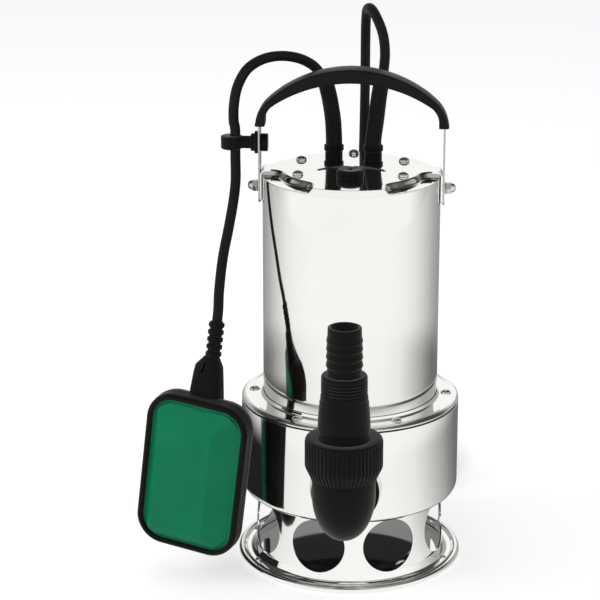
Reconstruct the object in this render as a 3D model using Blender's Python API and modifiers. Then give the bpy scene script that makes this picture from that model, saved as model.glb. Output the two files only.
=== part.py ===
"""Submersible sump pump with a float switch, as an assembly of separate pieces.

Metres, +Z up. The pump axis is the Z axis, the floor is z = 0 and the outlet faces -Y.
Skill feature: the spiral volute with its curved vane impeller, under a stamped lid whose
lobed plateau folds down into the lugs that carry the handle.
"""
import math

import bmesh
import bpy
from mathutils import Matrix, Vector

MM = 0.001
GAP = 0.3 * MM          # clearance between pieces that touch
TAU = 2.0 * math.pi

# facets of round pieces
SEG_BODY = 32
SEG_INNER = 16
SEG_OUTLET = 20
SEG_SCREW = 8

# base tray and strainer
BASE_R = 86.6 * MM
BEAD_R = 2.6 * MM
BASE_SHEET = 1.0 * MM
TRAY_TOP = 3.0 * MM
DISH_R = 50.0 * MM
DISH_RISE = 2.0 * MM
SKIRT_R_LOW = 73.0 * MM
SKIRT_R_TOP = 70.8 * MM
SKIRT_SHEET = 1.0 * MM
SKIRT_FOOT_R = 80.2 * MM
STRAINER_TURN = math.radians(5.0)
HOLE_COUNT = 8
HOLE_D = 42.0 * MM
HOLE_Z = 31.3 * MM
BASE_SCREW_R = 77.6 * MM
BASE_SCREW_ANGLES = (-112.5, -67.5, 67.5, 112.5)

# drum
DRUM_R = 83.5 * MM
DRUM_SHEET = 1.3 * MM
DRUM_BOTTOM = 54.7 * MM
DRUM_TOP = 128.3 * MM
DRUM_CORNER = 8.0 * MM
DRUM_LIP_R = 72.5 * MM
COVER_SHEET = 1.2 * MM
COVER_TOP = 131.4 * MM
COVER_LIP_TOP = 134.8 * MM
COVER_SCREW_R = 73.6 * MM
COVER_SCREWS = 6
SCREW_HEAD_R = 4.0 * MM
SCREW_HEAD_H = 3.0 * MM
SCREW_SHANK_R = 2.0 * MM
HOLE_CLEAR = 0.35 * MM

# motor
SHELL_R = 66.8 * MM
SHELL_SHEET = 0.9 * MM
SHELL_TOP = 303.5 * MM
FLANGE_T = 11.0 * MM
BEARING_R = 17.5 * MM
BEARING_BORE = 7.5 * MM
BEARING_W = 11.0 * MM
UPPER_BEARING_Z = 262.0 * MM
STATOR_Z0 = 152.0 * MM
STATOR_Z1 = 232.0 * MM
STATOR_BORE = 31.0 * MM
AIR_GAP = 0.9 * MM
SHAFT_R = BEARING_BORE - GAP

# hydraulics
PLATE_T = 3.0 * MM
EYE_R = 23.0 * MM
IMPELLER_R = 50.0 * MM
IMPELLER_LIFT = 2.5 * MM
VANE_H = 24.0 * MM
VANE_T = 3.0 * MM
VANES = 6
IMPELLER_DISC_T = 4.0 * MM
HUB_R = 12.0 * MM
VOLUTE_START_R = 55.0 * MM
VOLUTE_END_R = 73.0 * MM
VOLUTE_WALL = 3.0 * MM
VOLUTE_MOUTH = math.radians(21.0)

# lid
LID_TOP = 309.2 * MM
LID_LEDGE = 304.8 * MM
LID_SHEET = 1.0 * MM
PLATEAU_R = 52.5 * MM
LOBE_HALF = 10.0 * MM
LOBE_DRAFT = 0.15 * MM
FRONT_LOBE_HALF = 26.0 * MM
FRONT_LOBE_R = 60.5 * MM
LUG_DROP = 25.2 * MM
LUG_T = 0.9 * MM
LID_SCREW_R = 45.0 * MM
LID_SCREWS = 6
VENT_Y = -29.0 * MM
VENT_R = 9.7 * MM
VENT_H = 6.5 * MM
RIB_R = 32.5 * MM
RIB_HALF_ANGLE = math.radians(50.0)
RIB_W = 2.4 * MM
RIB_H = 0.8 * MM
GLAND_X = 15.0 * MM
GLAND_Y = 38.0 * MM
GLAND_R = 8.4 * MM
GLAND_H = 7.0 * MM
SLEEVE_R = 6.3 * MM
CABLE_R = 3.85 * MM

# handle
PIVOT_Z = 295.0 * MM
STRAP_T = 1.3 * MM
STRAP_W = 17.0 * MM
STRAP_BOTTOM = 282.8 * MM
STRAP_IN_GRIP = 10.0 * MM
GRIP_DEPTH = 20.0 * MM
GRIP_CREST = 384.5 * MM
GRIP_THICK = 9.5 * MM
GRIP_END_Z = 342.0 * MM
GRIP_OUTER_R = 92.4 * MM
GRIP_INNER_R = 106.0 * MM
GRIP_HALF_SPAN = 71.0 * MM
GRIP_INNER_SPAN = 65.0 * MM
GRIP_ROUND = 2.5 * MM
GRIP_SECTIONS = 10
BOLT_R = 2.7 * MM
NUT_FLATS = 8.2 * MM
NUT_H = 4.6 * MM
NUT_DOME = 3.8 * MM

# cable clip on the left strap
CLIP_Z = 328.0 * MM
CLIP_CABLE_X = -87.2 * MM
CLIP_HEIGHT = 9.7 * MM
CLIP_RING_X = -90.0 * MM
CLIP_RING_R = 8.0 * MM
CLIP_STEP_R = 6.65 * MM
CLIP_DISC_R = 8.5 * MM
CLIP_STEM_R = 3.5 * MM
CLIP_CAP_R = 6.75 * MM
CLIP_CAP_T = 5.3 * MM

# outlet
OUTLET_Y = -115.8 * MM
OUTLET_Z = 83.5 * MM
NECK_BORE = 15.0 * MM
NECK_R = 22.5 * MM
SPIGOT_R = 18.6 * MM
BOSS_R = 28.0 * MM
BOSS_FACE = 84.9 * MM
COLLAR_R = 26.5 * MM
COLLAR_T = 4.0 * MM
ELBOW_R = 23.7 * MM
ELBOW_BALL_R = 25.0 * MM
ELBOW_SHOULDER = 106.7 * MM
ELBOW_TOP = 130.0 * MM
ELBOW_THREAD_R = 21.5 * MM
NUT_R = 28.5 * MM
NUT_ROOT_R = 27.7 * MM
NUT_RIBS = 24
NUT_BOTTOM = 107.0 * MM
NUT_BOTTOM_R = 24.2 * MM
NUT_RIB_BOTTOM = 117.0 * MM
NUT_TOP = 139.0 * MM
NUT_TOP_WALL = 4.0 * MM
NUT_HOLE_R = 19.5 * MM
ADAPTER_COLLAR_R = 18.6 * MM
ADAPTER_THREAD_R = 16.7 * MM
ADAPTER_RIM_R = 12.0 * MM
ADAPTER_RIM_Z = 222.3 * MM
ADAPTER_BORE = 10.0 * MM
BARB_R = 13.1 * MM
BARB_ROOT = 12.3 * MM
BARB_PITCH = 5.9 * MM
BARBS = 4

# float: front face centre, lean and yaw as it hangs
FLOAT_FACE = (-118.0 * MM, -73.0 * MM, 87.0 * MM)
FLOAT_LEAN = math.radians(7.0)
FLOAT_YAW = math.radians(-16.6)
FLOAT_W = 79.0 * MM
FLOAT_H = 126.0 * MM
FLOAT_D = 32.0 * MM
FLOAT_CORNER = 22.0 * MM
FLOAT_RIM = 5.5 * MM
FLOAT_FRAME_D = 28.0 * MM
PANEL_T = 5.0 * MM
SWITCH_R = 9.0 * MM
SWITCH_L = 48.0 * MM
BALL_R = 6.4 * MM
BALL_TRAVEL = 20.0 * MM

# cords, as points the cord is led through
FLOAT_SLEEVE_ROUTE = ((-15.0, 38, 316.8), (-15.8, 38, 336.9), (-18.1, 37, 352.6), (-20.3, 35, 363.0))
POWER_SLEEVE_ROUTE = ((15.0, 38, 316.8), (16.9, 39, 337.1), (18.6, 40, 352.5), (20.0, 41, 362.3))
FLOAT_UPPER_ROUTE = (
    (-24.0, 31, 373), (-31.0, 27, 381.5), (-41.5, 22, 387.6), (-54.6, 17, 390.1), (-67.5, 11.5, 388.4),
    (-78.5, 7, 381.7), (-85.3, 3.4, 369.8), (-88.0, 1.2, 356.5), (-88.3, 0, 344.7))
FLOAT_LOWER_ROUTE = (
    (-86.9, -3, 299.4), (-88.3, -8, 284.2), (-91.4, -15, 265.3), (-95.2, -24, 244.4),
    (-97.3, -33, 222.4))
POWER_ROUTE = (
    (22.2, 43, 374.8), (23.0, 46, 388.0), (21.2, 51.5, 400.5), (16.5, 60, 411.0), (11.6, 70.5, 416.6),
    (8.2, 82, 414.0), (7.0, 92.5, 403.0), (6.6, 99, 385.0), (6.4, 102, 340.0), (5.0, 103, 280.0),
    (0.0, 103, 220.0), (-12.0, 102.5, 170.0), (-32.0, 102.5, 125.0), (-57.0, 102.5, 88.0),
    (-71.0, 102.5, 58.0), (-68.0, 102.5, 30.0), (-52.0, 102.5, 12.0), (-32.0, 102.5, 5.6))
RELIEF_TOP = (-98.2 * MM, -43.0 * MM, 201.0 * MM)
RELIEF_BOTTOM = (-100.7 * MM, -52.0 * MM, 174.7 * MM)
RELIEF_RIBS = 4
RELIEF_RIB_R = 5.7 * MM
RELIEF_ROOT_R = 4.75 * MM
NECK_T = 8.0 * MM

# coil of the power cord, lying behind the pump
COIL_CENTRE = (0.0, 187.0 * MM)
COIL_OUTER_R = 84.5 * MM
COIL_PITCH = 8.4 * MM
COIL_LAYERS = 2
COIL_LOOPS_PER_LAYER = 4.5
COIL_POINTS = 24
LEAD_INNER_R = 62.0 * MM
PLUG_R = 18.5 * MM
PLUG_L = 40.0 * MM
PIN_R = 2.4 * MM
PIN_L = 19.0 * MM

# heights that follow from the sizes above
SKIRT_BOTTOM = TRAY_TOP + GAP
PLATE_Z = DRUM_BOTTOM + DRUM_SHEET + GAP
SKIRT_TOP = PLATE_Z - GAP
PLATE_TOP = PLATE_Z + PLATE_T
FLANGE_TOP = COVER_TOP - COVER_SHEET - GAP
FLANGE_BOTTOM = FLANGE_TOP - FLANGE_T
SHELL_BOTTOM = FLANGE_TOP + GAP
SHELL_BORE = SHELL_R - SHELL_SHEET
LOWER_BEARING_Z = FLANGE_BOTTOM + 2.0 * MM
VANE_Z = PLATE_TOP + IMPELLER_LIFT
IMPELLER_DISC_Z = VANE_Z + VANE_H
HUB_TOP = IMPELLER_DISC_Z + IMPELLER_DISC_T + 8.0 * MM
LUG_X = SHELL_R + GAP
STRAP_X = LUG_X + LUG_T + GAP
STRAP_OUT = STRAP_X + STRAP_T
LID_GLAND_Z = LID_TOP + GAP
COIL_STRAND = 2.0 * CABLE_R
LEAD_LIFT = CABLE_R + GAP + PLUG_R

PARTS = bpy.data.collections.new("submersible_sump_pump")
CUTTERS = bpy.data.collections.new("cutters")
MATERIALS = {}

FINISHES = {
    "polished_steel": ((0.72, 0.71, 0.69), 1.0, 0.22),
    "stamped_steel": ((0.66, 0.65, 0.63), 1.0, 0.30),
    "screw_steel": ((0.60, 0.60, 0.60), 1.0, 0.28),
    "black_plastic": ((0.028, 0.027, 0.025), 0.0, 0.42),
    "grip_plastic": ((0.022, 0.021, 0.020), 0.0, 0.50),
    "cable_rubber": ((0.018, 0.018, 0.017), 0.0, 0.62),
    "float_green": ((0.020, 0.230, 0.120), 0.0, 0.38),
    "cast_aluminium": ((0.55, 0.56, 0.57), 1.0, 0.50),
    "cast_iron": ((0.10, 0.10, 0.11), 0.6, 0.60),
    "copper_core": ((0.35, 0.20, 0.12), 0.8, 0.45),
    "shaft_steel": ((0.58, 0.58, 0.60), 1.0, 0.20),
}


def clear_scene():
    for obj in list(bpy.data.objects):
        bpy.data.objects.remove(obj, do_unlink=True)
    bpy.context.scene.collection.children.link(PARTS)
    bpy.context.scene.collection.children.link(CUTTERS)


def finish(name):
    if name in MATERIALS:
        return MATERIALS[name]
    colour, metallic, roughness = FINISHES[name]
    mat = bpy.data.materials.new(name)
    mat.use_nodes = True
    shader = mat.node_tree.nodes["Principled BSDF"]
    shader.inputs["Base Color"].default_value = (*colour, 1.0)
    shader.inputs["Metallic"].default_value = metallic
    shader.inputs["Roughness"].default_value = roughness
    mat.diffuse_color = (*colour, 1.0)
    MATERIALS[name] = mat
    return mat


# ---------------------------------------------------------------- modelling helpers

def add_object(name, data, surface=None):
    """Put new data in the pump's collection, or among the cutters if it has no surface."""
    obj = bpy.data.objects.new(name, data)
    if surface is None:
        CUTTERS.objects.link(obj)
        obj.hide_render = True
        obj.display_type = "WIRE"
    else:
        PARTS.objects.link(obj)
        data.materials.append(finish(surface))
    return obj


def smooth(mesh, angle=32.0):
    mesh.shade_smooth()
    mesh.set_sharp_from_angle(angle=math.radians(angle))


def evaluated_mesh(obj):
    """The mesh an object's modifiers or curve settings give, welded where its caps meet."""
    graph = bpy.context.evaluated_depsgraph_get()
    graph.update()
    mesh = bpy.data.meshes.new_from_object(obj.evaluated_get(graph))
    shape = bmesh.new()
    shape.from_mesh(mesh)
    bmesh.ops.remove_doubles(shape, verts=shape.verts, dist=1e-6)
    shape.to_mesh(mesh)
    shape.free()
    return mesh


def settle(obj):
    """Replace a curve or a modified object by the plain mesh it makes, in place."""
    mesh = evaluated_mesh(obj)
    smooth(mesh)
    name = obj.name
    surface = obj.data.materials[0].name if obj.data.materials else None
    matrix = obj.matrix_world.copy()
    bpy.data.objects.remove(obj, do_unlink=True)
    mesh.materials.clear()
    plain = add_object(name, mesh, surface)
    plain.matrix_world = matrix
    return plain


def turned(name, profile, surface=None, segments=SEG_BODY, closed=True, place=None):
    """Turn a profile of (radius, height) points round Z. Its outer side runs top to bottom."""
    mesh = bpy.data.meshes.new(name)
    shape = bmesh.new()
    ring = [shape.verts.new((radius, 0.0, height)) for radius, height in profile]
    for first, second in zip(ring, ring[1:]):
        shape.edges.new((first, second))
    if closed:
        shape.edges.new((ring[-1], ring[0]))
    shape.to_mesh(mesh)
    shape.free()
    obj = add_object(name, mesh, surface)
    screw = obj.modifiers.new("Screw", "SCREW")
    screw.axis = "Z"
    screw.angle = TAU
    screw.steps = segments
    screw.render_steps = segments
    screw.use_merge_vertices = True
    screw.merge_threshold = 1e-5
    screw.use_smooth_shade = True
    obj = settle(obj)
    if place is not None:
        obj.matrix_world = place
        bake_place(obj)
    return obj


def bake_place(obj):
    """Write an object's placement into its mesh, so that later cuts share one frame."""
    obj.data.transform(obj.matrix_world)
    obj.matrix_world = Matrix.Identity(4)


def cylinder(name, start, end, radius, surface=None, segments=SEG_INNER, end_radius=None):
    start = Vector(start)
    end = Vector(end)
    axis = end - start
    mesh = bpy.data.meshes.new(name)
    shape = bmesh.new()
    far = radius if end_radius is None else end_radius
    bmesh.ops.create_cone(shape, cap_ends=True, segments=segments, radius1=radius, radius2=far,
                          depth=axis.length)
    turn = Vector((0.0, 0.0, 1.0)).rotation_difference(axis.normalized()).to_matrix().to_4x4()
    move = Matrix.Translation((start + end) * 0.5)
    bmesh.ops.transform(shape, matrix=move @ turn, verts=shape.verts)
    shape.to_mesh(mesh)
    shape.free()
    smooth(mesh)
    return add_object(name, mesh, surface)


def box(name, low, high, surface=None):
    mesh = bpy.data.meshes.new(name)
    shape = bmesh.new()
    size = [high[i] - low[i] for i in range(3)]
    centre = [(high[i] + low[i]) * 0.5 for i in range(3)]
    matrix = Matrix.Translation(centre) @ Matrix.Diagonal((*size, 1.0))
    bmesh.ops.create_cube(shape, size=1.0, matrix=matrix)
    shape.to_mesh(mesh)
    shape.free()
    return add_object(name, mesh, surface)


def ball(name, centre, radius, surface=None, segments=16, rings=10):
    mesh = bpy.data.meshes.new(name)
    shape = bmesh.new()
    bmesh.ops.create_uvsphere(shape, u_segments=segments, v_segments=rings, radius=radius,
                              matrix=Matrix.Translation(centre))
    shape.to_mesh(mesh)
    shape.free()
    mesh.shade_smooth()
    return add_object(name, mesh, surface)


def outline(name, points, thickness, surface=None, place=None, edge=0.0, steps=1):
    """Fill a flat outline in its own XY plane, centred on it in thickness, then place it."""
    curve = bpy.data.curves.new(name, "CURVE")
    curve.dimensions = "2D"
    curve.fill_mode = "BOTH"
    curve.extrude = thickness * 0.5
    spline = curve.splines.new("POLY")
    spline.points.add(len(points) - 1)
    for target, (x, y) in zip(spline.points, points):
        target.co = (x, y, 0.0, 1.0)
    spline.use_cyclic_u = True
    obj = add_object(name, curve, surface)
    if place is not None:
        obj.matrix_world = place
    bpy.context.view_layer.update()
    obj = settle(obj)
    bake_place(obj)
    if edge > 0.0:
        shape = bmesh.new()
        shape.from_mesh(obj.data)
        bmesh.ops.dissolve_limit(shape, angle_limit=math.radians(1.0), verts=shape.verts, edges=shape.edges)
        shape.to_mesh(obj.data)
        shape.free()
        bevel = obj.modifiers.new("Bevel", "BEVEL")
        bevel.width = edge
        bevel.segments = steps
        bevel.limit_method = "ANGLE"
        bevel.angle_limit = math.radians(60.0)
    return obj


def smooth_route(points, step):
    """Evenly spaced points on a Catmull-Rom curve through the given ones."""
    knots = [Vector(p) for p in points]
    padded = [2 * knots[0] - knots[1]] + knots + [2 * knots[-1] - knots[-2]]
    dense = []
    for i in range(1, len(padded) - 2):
        before, a, b, after = padded[i - 1:i + 3]
        for k in range(16):
            t = k / 16.0
            dense.append(0.5 * ((2 * a) + (b - before) * t
                                + (2 * before - 5 * a + 4 * b - after) * t ** 2
                                + (3 * a - before - 3 * b + after) * t ** 3))
    dense.append(knots[-1])
    lengths = [0.0]
    for a, b in zip(dense, dense[1:]):
        lengths.append(lengths[-1] + (b - a).length)
    count = max(2, round(lengths[-1] / step))
    result = []
    j = 0
    for k in range(count + 1):
        goal = lengths[-1] * k / count
        while j < len(dense) - 2 and lengths[j + 1] < goal:
            j += 1
        span = max(lengths[j + 1] - lengths[j], 1e-12)
        result.append(dense[j].lerp(dense[j + 1], (goal - lengths[j]) / span))
    return result


def tube(name, points, radius, surface, resolution=2, radii=None):
    """A round tube with filled ends along the points, as a poly curve."""
    curve = bpy.data.curves.new(name, "CURVE")
    curve.dimensions = "3D"
    curve.bevel_depth = radius
    curve.bevel_resolution = resolution
    curve.use_fill_caps = True
    spline = curve.splines.new("POLY")
    spline.points.add(len(points) - 1)
    for i, (target, point) in enumerate(zip(spline.points, points)):
        target.co = (*point, 1.0)
        target.radius = 1.0 if radii is None else radii[i] / radius
    spline.use_smooth = True
    return add_object(name, curve, surface)


def mm_points(route):
    return [Vector(p) * MM for p in route]


def boolean(obj, other, operation):
    step = obj.modifiers.new(operation.title() + "_" + other.name, "BOOLEAN")
    step.operation = operation
    step.object = other
    step.solver = "EXACT"


def cut(obj, *cutters):
    for cutter in cutters:
        boolean(obj, cutter, "DIFFERENCE")


def join(obj, *others):
    for other in others:
        boolean(obj, other, "UNION")


def polar(radius, angle, height=0.0):
    return Vector((radius * math.cos(angle), radius * math.sin(angle), height))


def arc(centre, radius, start, end, steps):
    """Points (radius, height) on an arc, angles in degrees from the outward direction."""
    points = []
    for k in range(steps + 1):
        angle = math.radians(start + (end - start) * k / steps)
        points.append((centre[0] + radius * math.cos(angle), centre[1] + radius * math.sin(angle)))
    return points


def fits_inside(radius):
    """Largest radius that turns freely inside a body's faceted bore of this radius."""
    return radius * math.cos(math.pi / SEG_BODY) - GAP


def outlet_place():
    return Matrix.Translation((0.0, OUTLET_Y, 0.0))


# ---------------------------------------------------------------- base and strainer

def base_plate():
    bead = BASE_R - BEAD_R
    inner = bead - BEAD_R
    under = TRAY_TOP - BASE_SHEET
    dish_top = TRAY_TOP + DISH_RISE
    slope = DISH_R + DISH_RISE + BASE_SHEET
    profile = [(0.0, dish_top), (DISH_R, dish_top), (slope, TRAY_TOP), (inner - GAP, TRAY_TOP)]
    profile += arc((bead, BEAD_R), BEAD_R, 140, 10, 2)
    profile += [(bead + BEAD_R * 0.75, BEAD_R * 0.3), (bead + BEAD_R * 0.3, 0.0)]
    profile += [(bead - BEAD_R * 0.3, 0.0), (inner, under)]
    profile += [(slope - GAP, under), (DISH_R - GAP, dish_top - BASE_SHEET)]
    profile += [(0.0, dish_top - BASE_SHEET)]
    plate = turned("base_plate", profile, "stamped_steel", closed=False)
    for i, angle in enumerate(base_screw_angles()):
        cut(plate, cylinder("base_hole_%d" % i, polar(BASE_SCREW_R, angle, -MM),
                            polar(BASE_SCREW_R, angle, 4 * TRAY_TOP), 1.2 * MM + HOLE_CLEAR,
                            segments=SEG_SCREW))


def base_screw_angles():
    front = -math.pi / 2 + STRAINER_TURN
    return [front + math.radians(a) for a in BASE_SCREW_ANGLES]


def strainer_skirt():
    t = SKIRT_SHEET
    foot = SKIRT_BOTTOM + t
    profile = [(SKIRT_R_TOP, SKIRT_TOP), (SKIRT_R_LOW, foot + 5 * MM),
               (SKIRT_R_LOW + 0.8 * MM, foot + 1.4 * MM),
               (SKIRT_R_LOW + 2.0 * MM, foot), (SKIRT_FOOT_R, foot), (SKIRT_FOOT_R, SKIRT_BOTTOM),
               (SKIRT_R_LOW + 1.6 * MM, SKIRT_BOTTOM), (SKIRT_R_LOW - 0.1 * MM, foot + 0.9 * MM),
               (SKIRT_R_LOW - t, foot + 5 * MM), (SKIRT_R_TOP - t, SKIRT_TOP)]
    skirt = turned("strainer_skirt", profile, "polished_steel", HOLE_COUNT * 4)
    skirt.data.transform(Matrix.Rotation(STRAINER_TURN, 4, "Z"))
    reach = SKIRT_R_LOW + 10 * MM
    for k in range(HOLE_COUNT // 2):
        angle = -math.pi / 2 + STRAINER_TURN + (k + 0.5) * TAU / HOLE_COUNT
        cut(skirt,
            cylinder("suction_hole_%d" % k, polar(-reach, angle, HOLE_Z), polar(reach, angle, HOLE_Z),
                            HOLE_D / 2, segments=16))
    for i, angle in enumerate(base_screw_angles()):
        cut(skirt, cylinder("foot_hole_%d" % i, polar(BASE_SCREW_R, angle, TRAY_TOP - MM),
                            polar(BASE_SCREW_R, angle, foot + MM), 1.2 * MM + HOLE_CLEAR,
                            segments=SEG_SCREW))


def base_screws():
    seat = SKIRT_BOTTOM + SKIRT_SHEET + GAP
    for i, angle in enumerate(base_screw_angles()):
        profile = [(0.0, seat + 1.2 * MM), (1.7 * MM, seat + 1.1 * MM), (2.3 * MM, seat + 0.5 * MM),
                   (2.3 * MM, seat), (1.2 * MM, seat), (1.2 * MM, TRAY_TOP - BASE_SHEET),
                   (0.0, TRAY_TOP - BASE_SHEET)]
        turned("base_screw_%d" % (i + 1), profile, "screw_steel", SEG_SCREW, closed=False,
               place=Matrix.Translation(polar(BASE_SCREW_R, angle)))


# ---------------------------------------------------------------- drum and hydraulics

def suction_plate():
    top = PLATE_TOP
    rim = DRUM_LIP_R + 2.5 * MM
    profile = [(EYE_R + 3 * MM, top), (rim, top), (rim, PLATE_Z), (EYE_R + 4 * MM, PLATE_Z),
               (EYE_R + 2 * MM, PLATE_Z - 4 * MM), (EYE_R, PLATE_Z - 4 * MM), (EYE_R, top - MM)]
    turned("suction_plate", profile, "cast_iron", SEG_INNER)


def pump_housing():
    t = DRUM_SHEET
    corner = DRUM_R - DRUM_CORNER
    low = DRUM_BOTTOM + DRUM_CORNER
    profile = [(DRUM_R, DRUM_TOP)]
    profile += arc((corner, low), DRUM_CORNER, 0, -90, 3)
    profile += [(DRUM_LIP_R, DRUM_BOTTOM), (DRUM_LIP_R, DRUM_BOTTOM + t)]
    profile += arc((corner, low), DRUM_CORNER - t, -90, 0, 2)
    profile += [(DRUM_R - t, DRUM_TOP)]
    drum = turned("pump_housing", profile, "polished_steel")
    boss = cylinder("outlet_boss", (0, -DRUM_R + 6 * MM, OUTLET_Z), (0, -BOSS_FACE, OUTLET_Z), BOSS_R,
                    segments=SEG_OUTLET)
    join(drum, boss)
    inside = cylinder("boss_inside", (0, 0, DRUM_BOTTOM + DRUM_CORNER - 2 * MM), (0, 0, DRUM_TOP - 10 * MM),
                      DRUM_R - 1.05 * t, segments=SEG_BODY)
    cut(drum, inside)
    cut(drum, cylinder("boss_bore", (0, -60 * MM, OUTLET_Z), (0, -BOSS_FACE - 5 * MM, OUTLET_Z),
                       SPIGOT_R + GAP, segments=SEG_OUTLET))


def volute_casing():
    """Spiral wall that widens from the tongue to the throat at the outlet."""
    start = -math.pi / 2 + VOLUTE_MOUTH
    sweep = TAU - 2 * VOLUTE_MOUTH
    steps = 30
    outer = []
    inner = []
    for k in range(steps + 1):
        share = k / steps
        radius = VOLUTE_START_R + (VOLUTE_END_R - VOLUTE_START_R) * share
        wall = VOLUTE_WALL if share > 0 else VOLUTE_WALL * 0.5
        outer.append(polar(radius + wall, start + sweep * share).xy)
        inner.append(polar(radius, start + sweep * share).xy)
    low = PLATE_TOP + GAP
    high = FLANGE_BOTTOM - GAP
    outline("volute_casing", outer + inner[::-1], high - low, "cast_iron",
            Matrix.Translation((0, 0, (low + high) / 2)))


def impeller():
    """Curved vanes under a disc on a hub, turning on the shaft."""
    disc = IMPELLER_DISC_Z
    top = disc + IMPELLER_DISC_T
    bore = shaft_step_radius() + GAP
    profile = [(HUB_R, HUB_TOP), (HUB_R, top), (IMPELLER_R, top), (IMPELLER_R, disc), (HUB_R, disc),
               (HUB_R * 0.85, VANE_Z + 6 * MM), (bore, VANE_Z + 6 * MM), (bore, HUB_TOP)]
    wheel = turned("impeller", profile, "cast_iron", SEG_INNER)
    for k in range(VANES):
        front = []
        back = []
        for j in range(6):
            share = j / 5
            radius = (HUB_R + 6 * MM) + (IMPELLER_R - MM - HUB_R - 6 * MM) * share
            angle = TAU * k / VANES - math.radians(62.0) * share ** 0.8
            turn = VANE_T / (2 * radius)
            front.append(polar(radius, angle + turn).xy)
            back.append(polar(radius, angle - turn).xy)
        vane = outline("vane_%d" % k, back + front[::-1], VANE_H + MM,
                       place=Matrix.Translation((0, 0, VANE_Z + (VANE_H + MM) / 2)))
        join(wheel, vane)


def shaft_step_radius():
    return SHAFT_R - 1.2 * MM


def housing_cover():
    t = COVER_SHEET
    rim = DRUM_R - 0.2 * MM
    low = DRUM_TOP + GAP
    lip = SHELL_R + 1.3 * GAP
    profile = [(lip, COVER_LIP_TOP), (lip + 1.0 * MM, COVER_LIP_TOP),
               (lip + 2.1 * MM, COVER_TOP), (rim - 4.8 * MM, COVER_TOP),
               (rim - 1.7 * MM, COVER_TOP - 0.5 * MM),
               (rim, COVER_TOP - 2.2 * MM), (rim, low), (rim - 1.3 * MM, low),
               (rim - 4.0 * MM, COVER_TOP - t),
               (lip, COVER_TOP - t)]
    cover = turned("housing_cover", profile, "stamped_steel")
    for i in range(COVER_SCREWS):
        spot = polar(COVER_SCREW_R, TAU * i / COVER_SCREWS)
        cut(cover, cylinder("cover_hole_%d" % i, spot + Vector((0, 0, COVER_TOP - 5 * MM)),
                            spot + Vector((0, 0, COVER_TOP + 5 * MM)), SCREW_SHANK_R + HOLE_CLEAR,
                            segments=SEG_SCREW))


def pan_screw(name, spot, seat, depth):
    head = SCREW_HEAD_R
    top = seat + SCREW_HEAD_H
    profile = [(0.0, top), (head * 0.8, top - 0.4 * MM), (head, seat + 1.4 * MM), (head, seat),
               (SCREW_SHANK_R, seat), (SCREW_SHANK_R, seat - depth), (0.0, seat - depth)]
    turned(name, profile, "screw_steel", SEG_SCREW, closed=False, place=Matrix.Translation(spot))


def cover_screws():
    for i in range(COVER_SCREWS):
        pan_screw("cover_screw_%d" % (i + 1), polar(COVER_SCREW_R, TAU * i / COVER_SCREWS),
                  COVER_TOP + GAP, COVER_SHEET + GAP)


# ---------------------------------------------------------------- motor

def motor_flange():
    """Cast plate that carries the motor, with the lower bearing and the seal in its hub."""
    rim = fits_inside(DRUM_R - DRUM_SHEET)
    spigot = fits_inside(SHELL_BORE)
    pocket = BEARING_R + GAP
    seat = LOWER_BEARING_Z - GAP
    seal = seal_radius() + GAP
    profile = [(spigot - 5 * MM, FLANGE_TOP + 6 * MM), (spigot, FLANGE_TOP + 6 * MM), (spigot, FLANGE_TOP),
               (rim - 4 * MM, FLANGE_TOP), (rim, FLANGE_TOP - 3 * MM), (rim, FLANGE_BOTTOM),
               (30 * MM, FLANGE_BOTTOM), (26 * MM, FLANGE_BOTTOM - 9 * MM),
               (seal, FLANGE_BOTTOM - 9 * MM), (seal, seat), (pocket, seat),
               (pocket, seat + BEARING_W + MM),
               (pocket + 5 * MM, seat + BEARING_W + MM), (spigot - 20 * MM, FLANGE_TOP - 3 * MM),
               (spigot - 5 * MM, FLANGE_TOP - 3 * MM)]
    turned("motor_flange", profile, "cast_aluminium", SEG_INNER)


def seal_radius():
    return 12.5 * MM


def shaft_seal():
    low = HUB_TOP + GAP
    high = LOWER_BEARING_Z - 2 * GAP
    turned("shaft_seal", ring_profile(seal_radius(), BEARING_BORE, low, high), "cable_rubber", SEG_INNER)


def ring_profile(outer, inner, low, high):
    return [(inner, high), (outer, high), (outer, low), (inner, low)]


def bearings():
    for name, low in (("lower_bearing", LOWER_BEARING_Z), ("upper_bearing", UPPER_BEARING_Z)):
        turned(name, ring_profile(BEARING_R, BEARING_BORE, low, low + BEARING_W), "shaft_steel", 16)


def bearing_bracket():
    low = UPPER_BEARING_Z - 4 * MM
    pocket = BEARING_R + GAP
    rim = fits_inside(SHELL_BORE)
    profile = [(pocket, UPPER_BEARING_Z + BEARING_W), (pocket + 4 * MM, UPPER_BEARING_Z + BEARING_W),
               (pocket + 7 * MM, low + 4 * MM), (rim, low + 4 * MM), (rim, low),
               (BEARING_BORE + 3 * MM, low),
               (BEARING_BORE + 3 * MM, UPPER_BEARING_Z - GAP), (pocket, UPPER_BEARING_Z - GAP)]
    turned("bearing_bracket", profile, "cast_aluminium", SEG_INNER)


def rotor_shaft():
    step = shaft_step_radius()
    nut = VANE_Z + 6 * MM - GAP
    core = SHAFT_R + 1.5 * MM
    profile = [(0.0, UPPER_BEARING_Z + BEARING_W + 2 * MM), (SHAFT_R, UPPER_BEARING_Z + BEARING_W + 2 * MM),
               (SHAFT_R, UPPER_BEARING_Z - 3 * MM), (core, UPPER_BEARING_Z - 6 * MM),
               (core, STATOR_Z0 - 8 * MM),
               (SHAFT_R, STATOR_Z0 - 8 * MM), (SHAFT_R, HUB_TOP), (step, HUB_TOP), (step, nut),
               (HUB_R * 0.75, nut), (HUB_R * 0.75, nut - 5 * MM), (HUB_R * 0.4, nut - 7.5 * MM),
               (0.0, nut - 7.5 * MM)]
    turned("rotor_shaft", profile, "shaft_steel", 12, closed=False)


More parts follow.
